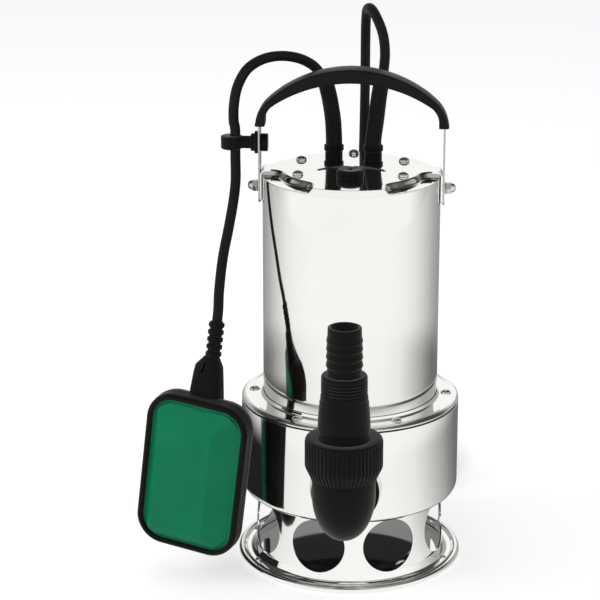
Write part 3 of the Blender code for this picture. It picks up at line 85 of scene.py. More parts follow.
class Nodes:
    """Adds shader nodes to a tree. A socket given as a value is linked, and anything else is set."""

    def __init__(self, tree):
        self.tree = tree

    def put(self, value, socket):
        if isinstance(value, bpy.types.NodeSocket):
            self.tree.links.new(value, socket)
        elif value is not None:
            socket.default_value = value

    def add(self, kind, *values, out=0, **settings):
        """A new node with inputs given in order or by name; returns one output, or all for out=None."""
        node = self.tree.nodes.new("ShaderNode" + kind)
        for key, value in settings.items():
            if hasattr(node, key):
                setattr(node, key, value)
            else:
                self.put(value, node.inputs[key.replace("_", " ")])
        for socket, value in zip(node.inputs, values):
            self.put(value, socket)
        return node.outputs if out is None else node.outputs[out]

    def maths(self, operation, first, second=None):
        return self.add("Math", first, second, operation=operation)

    def ramp(self, value, stops):
        """Colour that follows a value through (place, colour) stops."""
        node = self.tree.nodes.new("ShaderNodeValToRGB")
        elements = node.color_ramp.elements
        while len(elements) < len(stops):
            elements.new(0.5)
        for element, (place, colour) in zip(elements, stops):
            element.position = place
            element.color = (*colour, 1.0)
        self.put(value, node.inputs["Fac"])
        return node.outputs["Color"]

    def show(self, surface):
        output = self.tree.nodes.get("Material Output") or self.tree.nodes["World Output"]
        self.put(surface, output.inputs["Surface"])


class Paint(Nodes):
    """A material whose shader is read from noise in the piece's own space."""

    def __init__(self, name, metallic=0.0, specular=0.5, sheen=0.0):
        self.material = bpy.data.materials.new(name)
        self.material.use_nodes = True
        super().__init__(self.material.node_tree)
        self.shader = self.tree.nodes["Principled BSDF"].inputs
        for key, value in (("Metallic", metallic), ("Specular IOR Level", specular), ("Sheen Weight", sheen),
                           ("Sheen Roughness", 0.35)):
            self.put(value, self.shader[key])
        self.where = self.add("TexCoord", out="Object")
        self.normal = None

    def noise(self, scale, detail=3.0, rough=0.55, where=None):
        return self.add("TexNoise", out="Fac", Scale=scale, Detail=detail, Roughness=rough,
                        Vector=where or self.where)

    def colour(self, value, dark, light):
        self.put(self.ramp(value, ((0.3, dark), (0.7, light))), self.shader["Base Color"])

    def roughness(self, value, low, high):
        spread = self.add("MapRange", Value=value, From_Min=0.3, From_Max=0.7, To_Min=low, To_Max=high)
        self.put(spread, self.shader["Roughness"])

    def bump(self, height, distance, strength=1.0):
        """Relief of a height in millimetres, over what was there before."""
        self.normal = self.add("Bump", Strength=strength, Distance=distance * MM, Height=height,
                               Normal=self.normal)
        self.put(self.normal, self.shader["Normal"])


def steel(name, dark, light, rough, wave, streak, grain=(1.0, 1.0, 1.0)):
    """Sheet metal with a faint wave and fine lines, drawn out along the axis that the grain shrinks."""
    paint = Paint(name, metallic=1.0)
    paint.colour(paint.noise(9.0, 4.0), dark, light)
    paint.roughness(paint.noise(26.0, 5.0, 0.65), *rough)
    paint.bump(paint.noise(7.0, 1.0), wave)
    stretched = paint.add("Mapping", Vector=paint.where, Scale=grain)
    paint.bump(paint.noise(900.0, 2.0, 0.6, stretched), streak)
    return paint.material


def plastic(name, dark, light, rough, grain, grain_scale, specular=0.5, sheen=0.0):
    paint = Paint(name, specular=specular, sheen=sheen)
    paint.colour(paint.noise(38.0, 5.0, 0.6), dark, light)
    paint.roughness(paint.noise(55.0, 4.0, 0.6), *rough)
    paint.bump(paint.noise(grain_scale, 3.0, 0.6), grain)
    paint.bump(paint.noise(60.0, 2.0), grain * 1.5, 0.5)
    return paint.material


def rough_metal(name, dark, light, rough, grain, grain_scale, metallic=1.0):
    paint = Paint(name, metallic=metallic)
    paint.colour(paint.noise(120.0, 5.0, 0.7), dark, light)
    paint.roughness(paint.noise(80.0, 4.0), *rough)
    paint.bump(paint.noise(grain_scale, 4.0, 0.7), grain)
    return paint.material


def winding_metal(name):
    """Varnished laminations with turns of copper at the ends."""
    paint = Paint(name, metallic=0.7)
    bands = paint.add("TexWave", out="Fac", wave_type="BANDS", bands_direction="Z", Scale=260.0, Distortion=1.5,
                      Vector=paint.where)
    paint.colour(bands, (0.12, 0.055, 0.025), (0.45, 0.22, 0.10))
    paint.roughness(paint.noise(90.0), 0.35, 0.55)
    paint.bump(bands, 0.25)
    return paint.material


UPRIGHT = (1.0, 1.0, 0.02)
POLISHED = steel("polished_steel", (0.895, 0.89, 0.88), (0.94, 0.935, 0.925), (0.045, 0.085), 0.05, 0.0008,
                 UPRIGHT)
STAMPED = steel("stamped_steel", (0.87, 0.865, 0.855), (0.93, 0.925, 0.915), (0.05, 0.10), 0.06, 0.0010)
SCREW = steel("screw_steel", (0.55, 0.55, 0.545), (0.74, 0.74, 0.73), (0.14, 0.26), 0.02, 0.006)
SHAFT = steel("shaft_steel", (0.52, 0.52, 0.54), (0.62, 0.62, 0.64), (0.12, 0.22), 0.01, 0.004)
# straps: a rougher copy of polished steel whose darker base colour is painted shade
STRAP_SHADED_STEEL = steel("strap_steel_shaded", (0.46, 0.455, 0.445), (0.56, 0.555, 0.545), (0.16, 0.26), 0.02, 0.004, UPRIGHT)
BRASS = steel("plug_brass", (0.62, 0.47, 0.20), (0.76, 0.60, 0.30), (0.18, 0.30), 0.01, 0.004)
BLACK = plastic("black_plastic", (0.0046, 0.0044, 0.0040), (0.0078, 0.0073, 0.0067), (0.42, 0.54), 0.02, 1500.0,
                0.08, 0.40)
GRIP = plastic("grip_plastic", (0.0070, 0.0067, 0.0063), (0.0112, 0.0107, 0.0100), (0.40, 0.52), 0.03, 1300.0,
               0.12, 0.12)
RUBBER = plastic("cable_rubber", (0.0074, 0.0071, 0.0067), (0.0120, 0.0115, 0.0109), (0.44, 0.58), 0.03, 1100.0,
                 0.12, 0.15)
GREEN = plastic("float_green", (0.003, 0.200, 0.090), (0.005, 0.232, 0.106), (0.28, 0.40), 0.012, 900.0, 0.12)
ALUMINIUM = rough_metal("cast_aluminium", (0.42, 0.43, 0.44), (0.60, 0.61, 0.62), (0.45, 0.62), 0.08, 700.0)
IRON = rough_metal("cast_iron", (0.035, 0.035, 0.038), (0.075, 0.075, 0.08), (0.50, 0.70), 0.10, 600.0, 0.6)
COPPER = winding_metal("copper_core")

# the name up to its dot, because the solids' own materials already have these names
SLOT_OF = {paint: paint.name.split(".")[0] for paint in (POLISHED, STAMPED, SCREW, SHAFT, BLACK, GRIP, RUBBER, GREEN,
                                                         ALUMINIUM, IRON, COPPER)}
# the straps' copy with painted shade stands for polished steel
SLOT_OF[STRAP_SHADED_STEEL] = "polished_steel"


# -------- modelling helpers

def fillet(points, radius, closed=True, steps=4):
    """Round the corners of a flat line of points; a third number is a corner's own radius."""
    result = []
    count = len(points)
    for i, point in enumerate(points):
        here = Vector(point[:2])
        r = point[2] if len(point) > 2 else radius
        back = Vector(points[i - 1][:2]) - here
        ahead = Vector(points[(i + 1) % count][:2]) - here
        reach = 0.48 * min(back.length, ahead.length)
        if r <= 0.0 or (not closed and i in (0, count - 1)) or reach < 1e-5:
            result.append(here)
            continue
        back.normalize()
        ahead.normalize()
        corner = back.angle(ahead)
        if corner > math.radians(176.0) or corner < math.radians(2.0):
            result.append(here)
            continue
        cut_back = min(r / math.tan(corner / 2), reach)
        r = cut_back * math.tan(corner / 2)
        centre = here + (back + ahead).normalized() * (r / math.sin(corner / 2))
        first = here + back * cut_back - centre
        last = here + ahead * cut_back - centre
        turn = math.atan2(first.x * last.y - first.y * last.x, first.dot(last))
        for k in range(steps + 1):
            c, s = math.cos(turn * k / steps), math.sin(turn * k / steps)
            result.append(centre + Vector((first.x * c - first.y * s, first.x * s + first.y * c)))
    return result


def arc(centre, radius, start, end, steps):
    """Points of an arc between two angles in degrees, marked as corners that aren't rounded."""
    points = []
    for k in range(steps + 1):
        a = math.radians(start + (end - start) * k / steps)
        points.append((centre[0] + radius * math.cos(a), centre[1] + radius * math.sin(a), 0.0))
    return points


def polar(radius, angle, height=0.0):
    return Vector((radius * math.cos(angle), radius * math.sin(angle), height))


def add_mesh(name, bm, material=None, sharp=35.0, place=None):
    """Close a bmesh made in millimetres into an object in metres, shaded smooth."""
    if place is not None:
        bmesh.ops.transform(bm, matrix=place, verts=bm.verts)
    bmesh.ops.remove_doubles(bm, verts=bm.verts, dist=1e-4)
    bmesh.ops.recalc_face_normals(bm, faces=bm.faces)
    bmesh.ops.scale(bm, vec=(MM, MM, MM), verts=bm.verts)
    mesh = bpy.data.meshes.new(name)
    bm.to_mesh(mesh)
    bm.free()
    mesh.shade_smooth()
    mesh.set_sharp_from_angle(angle=math.radians(sharp))
    obj = bpy.data.objects.new(name, mesh)
    SCENE.collection.objects.link(obj)
    if material is not None:
        mesh.materials.append(material)
    return obj


def bridge(bm, first, second):
    """Join two loops of vertices with faces; a loop of one vertex is a point."""
    count = max(len(first), len(second))
    for i in range(count):
        j = (i + 1) % count
        if len(first) == 1:
            bm.faces.new((first[0], second[j], second[i]))
        elif len(second) == 1:
            bm.faces.new((first[i], first[j], second[0]))
        else:
            bm.faces.new((first[i], first[j], second[j], second[i]))


def skin(name, loops, material=None, sharp=35.0, place=None, ring=False, ends=False):
    """Join each loop of points to the next, and the last to the first for a ring, or else fill both ends."""
    bm = bmesh.new()
    loops = [[bm.verts.new(point) for point in loop] for loop in loops]
    if ring:
        loops.append(loops[0])
    for first, second in zip(loops, loops[1:]):
        bridge(bm, first, second)
    if ends:
        bm.faces.new(loops[0])
        bm.faces.new(loops[-1])
    return add_mesh(name, bm, material, sharp, place)


def lathe(name, profile, material=None, segments=96, closed=True, place=None, sharp=35.0, soften=0.0, steps=4):
    """Turn a profile of (radius, height) with rounded corners round Z, in millimetres."""
    loops = []
    for r, z in fillet(profile, soften, closed, steps):
        count = 1 if r < 1e-5 else segments
        loops.append([polar(r, TAU * k / segments, z) for k in range(count)])
    return skin(name, loops, material, sharp, place, ring=closed)


def plate(name, outline, low, high, material=None, place=None, edge=0.0, steps=3, sharp=35.0):
    """Raise a flat outline from one height to another, with rounded rims."""
    bm = bmesh.new()
    bottom = [bm.verts.new((p[0], p[1], low)) for p in outline]
    top = [bm.verts.new((p[0], p[1], high)) for p in outline]
    bridge(bm, bottom, top)
    caps = [bm.faces.new(bottom), bm.faces.new(top)]
    bmesh.ops.recalc_face_normals(bm, faces=bm.faces)
    if edge > 0.0:
        rims = list({e for face in caps for e in face.edges})
        bmesh.ops.bevel(bm, geom=rims, offset=edge, segments=steps, affect="EDGES", profile=0.5,
                        clamp_overlap=True)
    return add_mesh(name, bm, material, sharp, place)


def rod(start, end, radius, material=None, segments=48, edge=0.0, name="rod"):
    """A round bar between two points, in millimetres."""
    start = Vector(start)
    axis = Vector(end) - start
    turn = Vector((0.0, 0.0, 1.0)).rotation_difference(axis.normalized()).to_matrix().to_4x4()
    profile = [(0.0, axis.length), (radius, axis.length), (radius, 0.0), (0.0, 0.0)]
    return lathe(name, profile, material, segments, False, Matrix.Translation(start) @ turn, soften=edge)


def block(low, high):
    outline = [(low[0], low[1]), (high[0], low[1]), (high[0], high[1]), (low[0], high[1])]
    return plate("block", outline, low[2], high[2])


def tube(name, path, radius, material, sides=20, sharp=60.0):
    """Skin a round tube along a path, in millimetres, with one radius or one for each point."""
    path = [Vector(p) for p in path]
    radii = radius if isinstance(radius, list) else [radius] * len(path)
    side = None
    loops = []
    for i, (here, r) in enumerate(zip(path, radii)):
        tangent = (path[min(i + 1, len(path) - 1)] - path[max(i - 1, 0)]).normalized()
        if side is None:
            guess = Vector((0, 0, 1)) if abs(tangent.z) < 0.9 else Vector((0, 1, 0))
            side = guess.cross(tangent).normalized()
        else:
            side = (side - tangent * side.dot(tangent)).normalized()
        other = tangent.cross(side)
        spots = [polar(r, TAU * k / sides) for k in range(sides)]
        loops.append([here + side * p.x + other * p.y for p in spots])
    return skin(name, loops, material, sharp, ends=True)


def combine(obj, others, operation="DIFFERENCE", sharp=35.0):
    """Cut others from obj or join them to it with exact Booleans, written into its mesh, and drop them."""
    for other in others:
        step = obj.modifiers.new("step", "BOOLEAN")
        step.operation = operation
        step.solver = "EXACT"
        step.object = other
    bpy.context.view_layer.update()
    graph = bpy.context.evaluated_depsgraph_get()
    mesh = bpy.data.meshes.new_from_object(obj.evaluated_get(graph))
    obj.modifiers.clear()
    old = obj.data
    count = len([m for m in old.materials if m is not None])
    obj.data = mesh
    bpy.data.meshes.remove(old)
    while len(mesh.materials) > count:
        mesh.materials.pop()
    mesh.shade_smooth()
    mesh.set_sharp_from_angle(angle=math.radians(sharp))
    for other in others:
        bpy.data.objects.remove(other, do_unlink=True)
    return obj


def hide_from(obj, *rays):
    for kind in rays:
        setattr(obj, "visible_" + kind, False)


def stands(obj, body, *nodes):
    """Let a finished piece ride on a body in place of the solids named, or else of the one of its own name."""
    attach(obj, body)
    own = obj.name.lower()
    if nodes or own in NODES:
        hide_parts(*(nodes or (own,)))
    return obj


def ease(share):
    share = min(max(share, 0.0), 1.0)
    return share * share * (3 - 2 * share)


def length_of(points):
    return sum((Vector(b) - Vector(a)).length for a, b in zip(points, points[1:]))


def evenly(points, count):
    """The points that cut a line into a count of equal lengths."""
    lengths = [0.0]
    for a, b in zip(points, points[1:]):
        lengths.append(lengths[-1] + (b - a).length)
    result = []
    j = 0
    for k in range(count + 1):
        goal = lengths[-1] * k / count
        while j < len(points) - 2 and lengths[j + 1] < goal:
            j += 1
        span = max(lengths[j + 1] - lengths[j], 1e-12)
        result.append(points[j].lerp(points[j + 1], min((goal - lengths[j]) / span, 1.0)))
    return result


def smooth_route(points, step):
    """Evenly spaced points on a Catmull-Rom curve through the given ones."""
    knots = [Vector(p) for p in points]
    padded = [2 * knots[0] - knots[1]] + knots + [2 * knots[-1] - knots[-2]]
    dense = []
    for i in range(1, len(padded) - 2):
        before, a, b, after = padded[i - 1:i + 3]
        for k in range(16):
            t = k / 16.0
            dense.append(0.5 * ((2 * a) + (b - before) * t
                                + (2 * before - 5 * a + 4 * b - after) * t ** 2
                                + (3 * a - before - 3 * b + after) * t ** 3))
    dense.append(knots[-1])
    return evenly(dense, max(2, round(length_of(dense) / step)))


# -------- cords

FLOAT_SLEEVE_ROUTE = ((-15.0, 38, 316.8), (-15.8, 38, 336.9), (-18.1, 37, 352.6), (-20.3, 35, 363.0))
POWER_SLEEVE_ROUTE = ((15.0, 38, 316.8), (16.9, 39, 337.1), (18.6, 40, 352.5), (20.0, 41, 362.3))
FLOAT_UPPER_ROUTE = (
    (-24.0, 31, 373), (-31.0, 27, 381.5), (-41.5, 22, 387.6), (-54.6, 17, 390.1), (-67.5, 11.5, 388.4),
    (-78.5, 7, 381.7), (-85.3, 3.4, 369.8), (-88.0, 1.2, 356.5), (-88.3, 0, 344.7))
FLOAT_LOWER_ROUTE = (
    (-86.9, -3, 299.4), (-88.3, -8, 284.2), (-91.4, -15, 265.3), (-95.2, -24, 244.4), (-97.3, -33, 222.4))
POWER_ROUTE = (
    (22.2, 43, 374.8), (23.0, 46, 388.0), (21.2, 51.5, 400.5), (16.5, 60, 411.0), (11.6, 70.5, 416.6),
    (8.2, 82, 414.0), (7.0, 92.5, 403.0), (6.6, 99, 385.0), (6.4, 102, 340.0), (5.0, 103, 280.0),
    (0.0, 103, 220.0), (-12.0, 102.5, 170.0), (-32.0, 102.5, 125.0), (-57.0, 102.5, 88.0),
    (-71.0, 102.5, 58.0), (-68.0, 102.5, 30.0), (-52.0, 102.5, 12.0), (-32.0, 102.5, 5.6))
RELIEF_TOP = Vector((-98.2, -43.0, 201.0))
RELIEF_BOTTOM = Vector((-100.7, -52.0, 174.7))
COIL_CENTRE = Vector((0.0, 187.0, 0.0))
COIL_OUTER_R = 84.5
COIL_PITCH = 8.4
COIL_LAYERS = 2
COIL_LOOPS_PER_LAYER = 4.5
COIL_POINTS = 48
COIL_START = -math.pi / 2
LEAD_INNER_R = 62.0
PLUG_R = 18.5
PLUG_L = 40.0


def coil_path():
    """Loops that spiral in and out, climb a layer at each turn back, and lead up to the plug."""
    loops = COIL_LAYERS * COIL_LOOPS_PER_LAYER
    points = []
    for k in range(round(loops * COIL_POINTS) + 1):
        s = k / COIL_POINTS
        phase = s % (2 * COIL_LOOPS_PER_LAYER)
        inward = min(phase, 2 * COIL_LOOPS_PER_LAYER - phase)
        layer = min(max((s - COIL_LOOPS_PER_LAYER) * 2.0 + 0.5, 0.0), 1.0)
        points.append(COIL_CENTRE + polar(COIL_OUTER_R - COIL_PITCH * inward, COIL_START + TAU * s,
                                          CABLE_R + GAP + layer * COIL_PITCH))
    top = points[-1].z
    lift = CABLE_R + GAP + PLUG_R
    steps = COIL_POINTS // 2
    for k in range(1, steps + 1):
        share = k / steps
        radius = COIL_OUTER_R + (LEAD_INNER_R - COIL_OUTER_R) * ease((share - 0.3) / 0.7)
        points.append(COIL_CENTRE + polar(radius, COIL_START + TAU * (loops + 0.5 * share),
                                          top + lift * ease(share / 0.6)))
    heading = polar(1.0, TAU * (loops + 0.5))
    points.append(points[-1] + heading * 2 * CABLE_R)
    return points, heading


def turned_plug(end, heading):
    """Round mains plug with a gripped waist, and its two pins."""
    up = Vector((0.0, 0.0, 1.0))
    turn = Matrix((up.cross(heading), up, heading)).transposed().to_4x4()
    place = Matrix.Translation(end + heading * GAP) @ turn
    profile = [(0.0, PLUG_L - 1.0), (PLUG_R * 0.55, PLUG_L - 1.0), (PLUG_R * 0.58, PLUG_L), (PLUG_R * 0.92, PLUG_L),
               (PLUG_R, PLUG_L - 2), (PLUG_R, PLUG_L - 16), (PLUG_R * 0.8, 14, 6.0)]
    groove = CABLE_R * 1.65
    for k in range(4):
        z = 11.0 - 2.6 * k
        rib = CABLE_R * (2.35 - 0.18 * k)
        profile += [(rib, z), (rib, z - 1.3), (groove, z - 1.4), (groove, z - 2.5)]
    profile += [(CABLE_R * 1.5, 0.4), (0.0, 0.4)]
    plug = lathe("Power_Plug", profile, BLACK, 64, False, place, soften=0.5)
    pins = []
    for name, x in (("Power_Plug_Pin_1", -9.5), ("Power_Plug_Pin_2", 9.5)):
        pins.append(rod(place @ Vector((x, 0, PLUG_L - 2.0)), place @ Vector((x, 0, PLUG_L + 19.0)), 2.4, BRASS, 24,
                        0.9, name))
    return plug, pins


def coil_tie():
    """Flat band round all the loops on one side of the coil."""
    middle = COIL_OUTER_R - COIL_PITCH * 2.25
    half = COIL_PITCH * 2.0 + CABLE_R + 0.35
    high = 2 * (GAP + CABLE_R) + COIL_PITCH * (COIL_LAYERS - 1)
    lines = []
    for low, thick, radius in ((0.03, 0.8, 3.8), (0.27, 0.0, 3.0)):
        x, z = half + thick, high + thick
        lines.append(fillet([(-x, low), (x, low), (x, z), (-x, z)], radius, steps=8))
    outer, inner = lines
    loops = [[(p.x, y, p.y) for p in line]
             for line, y in ((outer, -4.5), (outer, 4.5), (inner, 4.5), (inner, -4.5))]
    place = Matrix.Translation(COIL_CENTRE - Vector((middle, 0, 0)))
    return skin("Power_Cord_Tie", loops, RUBBER, place=place, ring=True)


def metres(points):
    return [tuple(c * MM for c in p) for p in points]


def out_of_sleeve(route):
    """Where a sleeve ends, in metres, and two points that lead a cable straight through its mouth."""
    end = Vector(route[-1])
    along = (end - Vector(route[-2])).normalized()
    return metres([end])[0], [end - along * 4.0, end + along * 7.7]


def float_cable(name, route):
    """A length of the float's cable, bent between two bodies."""
    path = smooth_route(route, 3.0)
    obj = tube(name, path, CABLE_R, RUBBER)
    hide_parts(name.lower())
    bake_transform(obj)


def make_cords():
    clip = Vector((CLIP_CABLE_X, 0, CLIP_Z))
    mouth, route = out_of_sleeve(FLOAT_SLEEVE_ROUTE)
    route += [*FLOAT_UPPER_ROUTE, clip + Vector((0, 0, 10.0)), clip]
    float_cable("Float_Cable_Upper", route)
    line = (RELIEF_TOP - RELIEF_BOTTOM).normalized()
    route = [clip + Vector((0, 0, 3)), clip - Vector((0, 0, 12)), *FLOAT_LOWER_ROUTE, RELIEF_TOP + line * 7.7,
             RELIEF_TOP - line * 3.0]
    float_cable("Float_Cable_Lower", route)
    mouth, route = out_of_sleeve(POWER_SLEEVE_ROUTE)
    coil, heading = coil_path()
    route += [*POWER_ROUTE, coil[0] - Vector((15.7, 0, 0)), coil[0] - Vector((4.0, 0, 0))]
    path = smooth_route(route, 4.0) + coil[1:]
    cord = stands(tube("Power_Cord", path, CABLE_R, RUBBER, sides=18), "pump", "power_cord", "power_cord_coil")
    plug, pins = turned_plug(coil[-1], heading)
    pieces = [stands(piece, "pump") for piece in (plug, coil_tie(), *pins)]


make_cords()


# -------- base and strainer

def base_plate():
    bead = 84.0
    profile = [(0.0, 5.0, 0), (50.0, 5.0, 1.2), (53.0, 3.0, 1.2), (80.6, 3.0, 0.8)]
    profile += arc((bead, 2.6), 2.6, 158, -60, 16)
    profile += [(bead, 0.0, 0.4), (82.6, 0.5, 0.4), (81.2, 2.0, 0.4), (52.6, 2.0, 1.0), (49.7, 4.0, 1.0),
                (0.0, 4.0, 0)]
    stands(lathe("Base_Plate", profile, STAMPED, 180, False, soften=0.5), "pump")


def strainer_skirt():
    foot = 4.3
    hole_z, hole_r = 31.3, 21.0
    profile = [(70.8, 55.9, 0), (73.0, foot + 6.0, 3.0), (75.0, foot + 0.9, 2.0), (77.0, foot, 1.0),
               (80.2, foot, 0.4), (80.2, 3.35, 0.3), (75.8, 3.35, 1.5), (72.2, foot + 4.0, 4.0), (69.8, 55.9, 0)]
    skirt = lathe("Strainer_Skirt", profile, POLISHED, 240, soften=0.5)
    angles = [-math.pi / 2 + STRAINER_TURN + (k + 0.5) * TAU / 8 for k in range(4)]
    cutters = [rod(polar(-90, a, hole_z), polar(90, a, hole_z), hole_r, None, 96) for a in angles]
    stands(combine(skirt, cutters, sharp=40.0), "pump")


def screw_head():
    """Pan head with a cross recess, its seat at z = 0."""
    profile = [(0.0, 3.0, 0), (2.0, 2.85, 2.0), (3.5, 1.9, 1.5), (4.0, 0.9, 0.6), (4.0, 0.0, 0.15), (2.0, 0.0, 0.1),
               (2.0, -1.5, 0), (0.0, -1.5, 0)]
    head = lathe("screw_head", profile, SCREW, 40, False, soften=0.3)
    long, thin, low, high = 2.3, 0.48, 1.5, 5.0
    slots = [block((-x, -y, low), (x, y, high)) for x, y in ((long, thin), (thin, long))]
    return combine(head, slots, sharp=30.0)


HIDDEN_LID_SCREW = 4
GOLDEN_ANGLE = 2.399963


def screws():
    """Copies of one head, each turned by the golden angle so that no two crosses line up."""
    head = screw_head()
    spots = []
    for i in range(6):
        spots.append(("Cover_Screw_%d" % (i + 1), polar(73.6, TAU * i / 6, 131.5), 1.0))
        if i != HIDDEN_LID_SCREW:
            spots.append(("Lid_Screw_%d" % (i + 1), polar(45.0, TAU * (i + 0.5) / 6, 309.3), 1.0))
    for i, angle in enumerate((-112.5, -67.5, 67.5, 112.5)):
        spot = polar(77.6, -math.pi / 2 + STRAINER_TURN + math.radians(angle), 4.5)
        spots.append(("Base_Screw_%d" % (i + 1), spot, 0.56))
    for k, (name, spot, size) in enumerate(spots):
        mesh = head.data.copy()
        turn = Matrix.Rotation(GOLDEN_ANGLE * k, 4, "Z")
        mesh.transform(Matrix.Translation(spot * MM) @ turn @ Matrix.Scale(size, 4))
        obj = bpy.data.objects.new(name, mesh)
        SCENE.collection.objects.link(obj)
        if not name.startswith("Lid"):
            hide_from(obj, "glossy")
        stands(obj, "pump")
    bpy.data.objects.remove(head, do_unlink=True)


# -------- drum, cover and shell

def facing_front(y):
    """Place at the outlet's height from which a turned piece's own Z runs out to the front."""
    return Matrix.Translation((0, y, OUTLET_Z)) @ Matrix.Rotation(math.pi / 2, 4, "X")


def front_rod(start, end, radius, material=None, segments=96):
    return rod((0, start, OUTLET_Z), (0, end, OUTLET_Z), radius, material, segments)


def pump_housing():
    t, wide, corner, rim = 1.3, 83.5, (75.5, 62.7), 128.15
    profile = [(wide, rim, 0.3), *arc(corner, 8.0, 0, -90, 14), (72.5, 54.7, 0.2), (72.5, 54.7 + t, 0.2),
               *arc(corner, 8.0 - t, -90, 0, 10), (wide - t, rim, 0.3)]
    drum = lathe("Pump_Housing", profile, POLISHED, 240, soften=0.3)
    profile = [(0.0, 0.0, 0), (26.0, 0.0, 1.2), (26.4, -3.0, 1.0), (27.4, -6.2, 0.5), (27.4, -18.0, 0),
               (0.0, -18.0, 0)]
    boss = lathe("boss", profile, POLISHED, 96, False, facing_front(-84.9), soften=0.5)
    combine(drum, [boss], "UNION")
    inside = rod((0, 0, 60.5), (0, 0, 118), 82.1, None, 240)
    bore = front_rod(-60, -95, 18.9)
    stands(combine(drum, [inside, bore], sharp=28.0), "pump")


def housing_cover():
    profile = [(67.05, 134.8, 0.15), (67.5, 134.8, 0.25), (67.9, 132.2, 1.2), (77.4, 131.5, 1.6), (79.6, 132.0, 1.4),
               (82.0, 131.4, 1.6), (83.4, 130.3, 0.5), (83.4, 129.4, 0.2), (82.0, 129.3, 0.2), (79.3, 130.3, 1.0),
               (67.05, 130.3, 0.2)]
    stands(lathe("Housing_Cover", profile, STAMPED, 240, soften=0.3, steps=5), "pump")


def motor_shell():
    profile = [(66.8, 303.72, 0.02), (66.8, 130.4, 0.2), (65.9, 130.4, 0.2), (65.9, 303.72, 0.02)]
    stands(lathe("Motor_Jacket", profile, POLISHED, 240, soften=0.2, steps=2), "pump", "motor_shell")


# -------- lid

LID_TOP = 309.2
LID_LEDGE = 304.8
GLAND_TOP = LID_TOP + GAP + 7.0
VENT_Y = -29.0
FOLD_X = 63.8


def box_distance(x, y, half_x, half_y):
    dx = abs(x) - half_x
    dy = abs(y) - half_y
    return math.hypot(max(dx, 0.0), max(dy, 0.0)) + min(max(dx, dy), 0.0)


def soft_union(a, b, blend):
    h = min(max(0.5 + 0.5 * (b - a) / blend, 0.0), 1.0)
    return b + (a - b) * h - blend * h * (1.0 - h)


def plateau_distance(x, y):
    """Distance outside the raised part: a disc, a lobe to each side and a wide one out to the front rim."""
    disc = math.hypot(x, y) - 53.5
    lobes = box_distance(x, y, 75.0, 9.0) - 1.0
    front = box_distance(x, y + 70.0, 25.0, 30.0) - 2.0
    return soft_union(soft_union(disc, front, 5.0), lobes, 8.0)


def lid_height(x, y):
    """Height of the pressed sheet: ledge and plateau, the fold of the lobes, and an arc shaped rib."""
    wall = 4.6
    height = LID_LEDGE + (LID_TOP - LID_LEDGE) * ease(0.62 - plateau_distance(x, y) / wall)
    if abs(x) > FOLD_X:
        bend = 305.2 + math.sqrt(max(16.0 - (abs(x) - FOLD_X) ** 2, 0.0))
        height = min(height, max(bend, LID_LEDGE))
    rib_r, rib_half, rib_span = 32.5, 1.6, math.radians(52.0)
    angle = abs(math.atan2(y - VENT_Y, x) - math.pi / 2)
    off = abs(math.hypot(x, y - VENT_Y) - rib_r)
    if angle < rib_span and off < rib_half:
        ends = ease((rib_span - angle) / math.radians(4.0))
        height += 0.9 * ends * 0.5 * (1.0 + math.cos(math.pi * off / rib_half))
    return height


def lid_lug(name, side):
    """Folded end of a lobe: round a bend, then down outside the shell to rounded corners."""
    rows = [(60.0, 309.17, 60.0, 308.27), (FOLD_X, 309.17, FOLD_X, 308.27)]
    for k in range(1, 11):
        a = math.radians(90.0 - 9.0 * k)
        rows.append((FOLD_X + 4.17 * math.cos(a), 305.0 + 4.17 * math.sin(a),
                     FOLD_X + 3.27 * math.cos(a), 305.0 + 3.27 * math.sin(a)))
    rows += [(67.97, z, 67.12, z) for z in (300.0, 295.0, 290.0, 286.0, 284.0)]
    corner, corner_z = 5.0, 289.0
    loops = []
    for xo, zo, xi, zi in rows:
        half = 10.0 - corner + math.sqrt(max(corner ** 2 - max(corner_z - zo, 0.0) ** 2, 0.0))
        spots = ((xo, -half, zo), (xo, half, zo), (xi, half, zi), (xi, -half, zi))
        loops.append([(side * x, y, z) for x, y, z in spots])
    stands(skin(name, loops, STAMPED, 40.0, ends=True), "pump")


def top_lid():
    """Pressed lid: a height field over a round sheet, with a rolled rim, a spigot below and folded lugs."""
    segments, rim, roll, under = 360, 66.8, 0.4, 303.75
    radii = [0.0] + [1.5 * k for k in range(1, 28)] + [42.0 + 0.45 * k for k in range(1, 54)]
    radii = [r for r in radii if r < rim - 0.6] + [rim - roll, rim - 0.25, rim - 0.12, rim - 0.04, rim]
    rings = [(r, None) for r in radii]
    rings += [(rim, under), (65.5, under), (65.5, 299.8), (64.5, 299.8), (64.5, under), (0.0, under)]
    loops = []
    for r, z in rings:
        drop = roll - math.sqrt(max(roll ** 2 - max(r - rim + roll, 0.0) ** 2, 0.0))
        spots = [polar(r, TAU * k / segments) for k in range(segments if r else 1)]
        loops.append([(p.x, p.y, lid_height(p.x, p.y) - drop if z is None else z) for p in spots])
    stands(skin("Top_Lid", loops, STAMPED, 50.0), "pump")
    lid_lug("Lid_Lug_Left", -1)
    lid_lug("Lid_Lug_Right", 1)


def vent_plug():
    low = 309.4
    profile = [(0.0, low + 5.2, 0), (1.4, low + 5.2, 0.3), (1.7, low + 5.9, 0.3), (7.8, low + 6.4, 1.5),
               (9.6, low + 5.6, 1.0), (10.0, low + 4.0, 0.5), (10.0, low, 0.2), (0.0, low, 0)]
    place = Matrix.Translation((0, VENT_Y, 0))
    plug = lathe("Vent_Plug", profile, BLACK, 64, False, place, soften=0.3)
    notches = []
    for k in range(8):
        angle = TAU * (k + 0.5) / 8
        notches.append(rod(place @ polar(10.7, angle, low + 0.8), place @ polar(10.7, angle, low + 8), 1.5, None, 16))
    combine(plug, notches, sharp=32.0)
    stands(plug, "pump", "vent_plug", "lid_screw_%d" % (HIDDEN_LID_SCREW + 1))


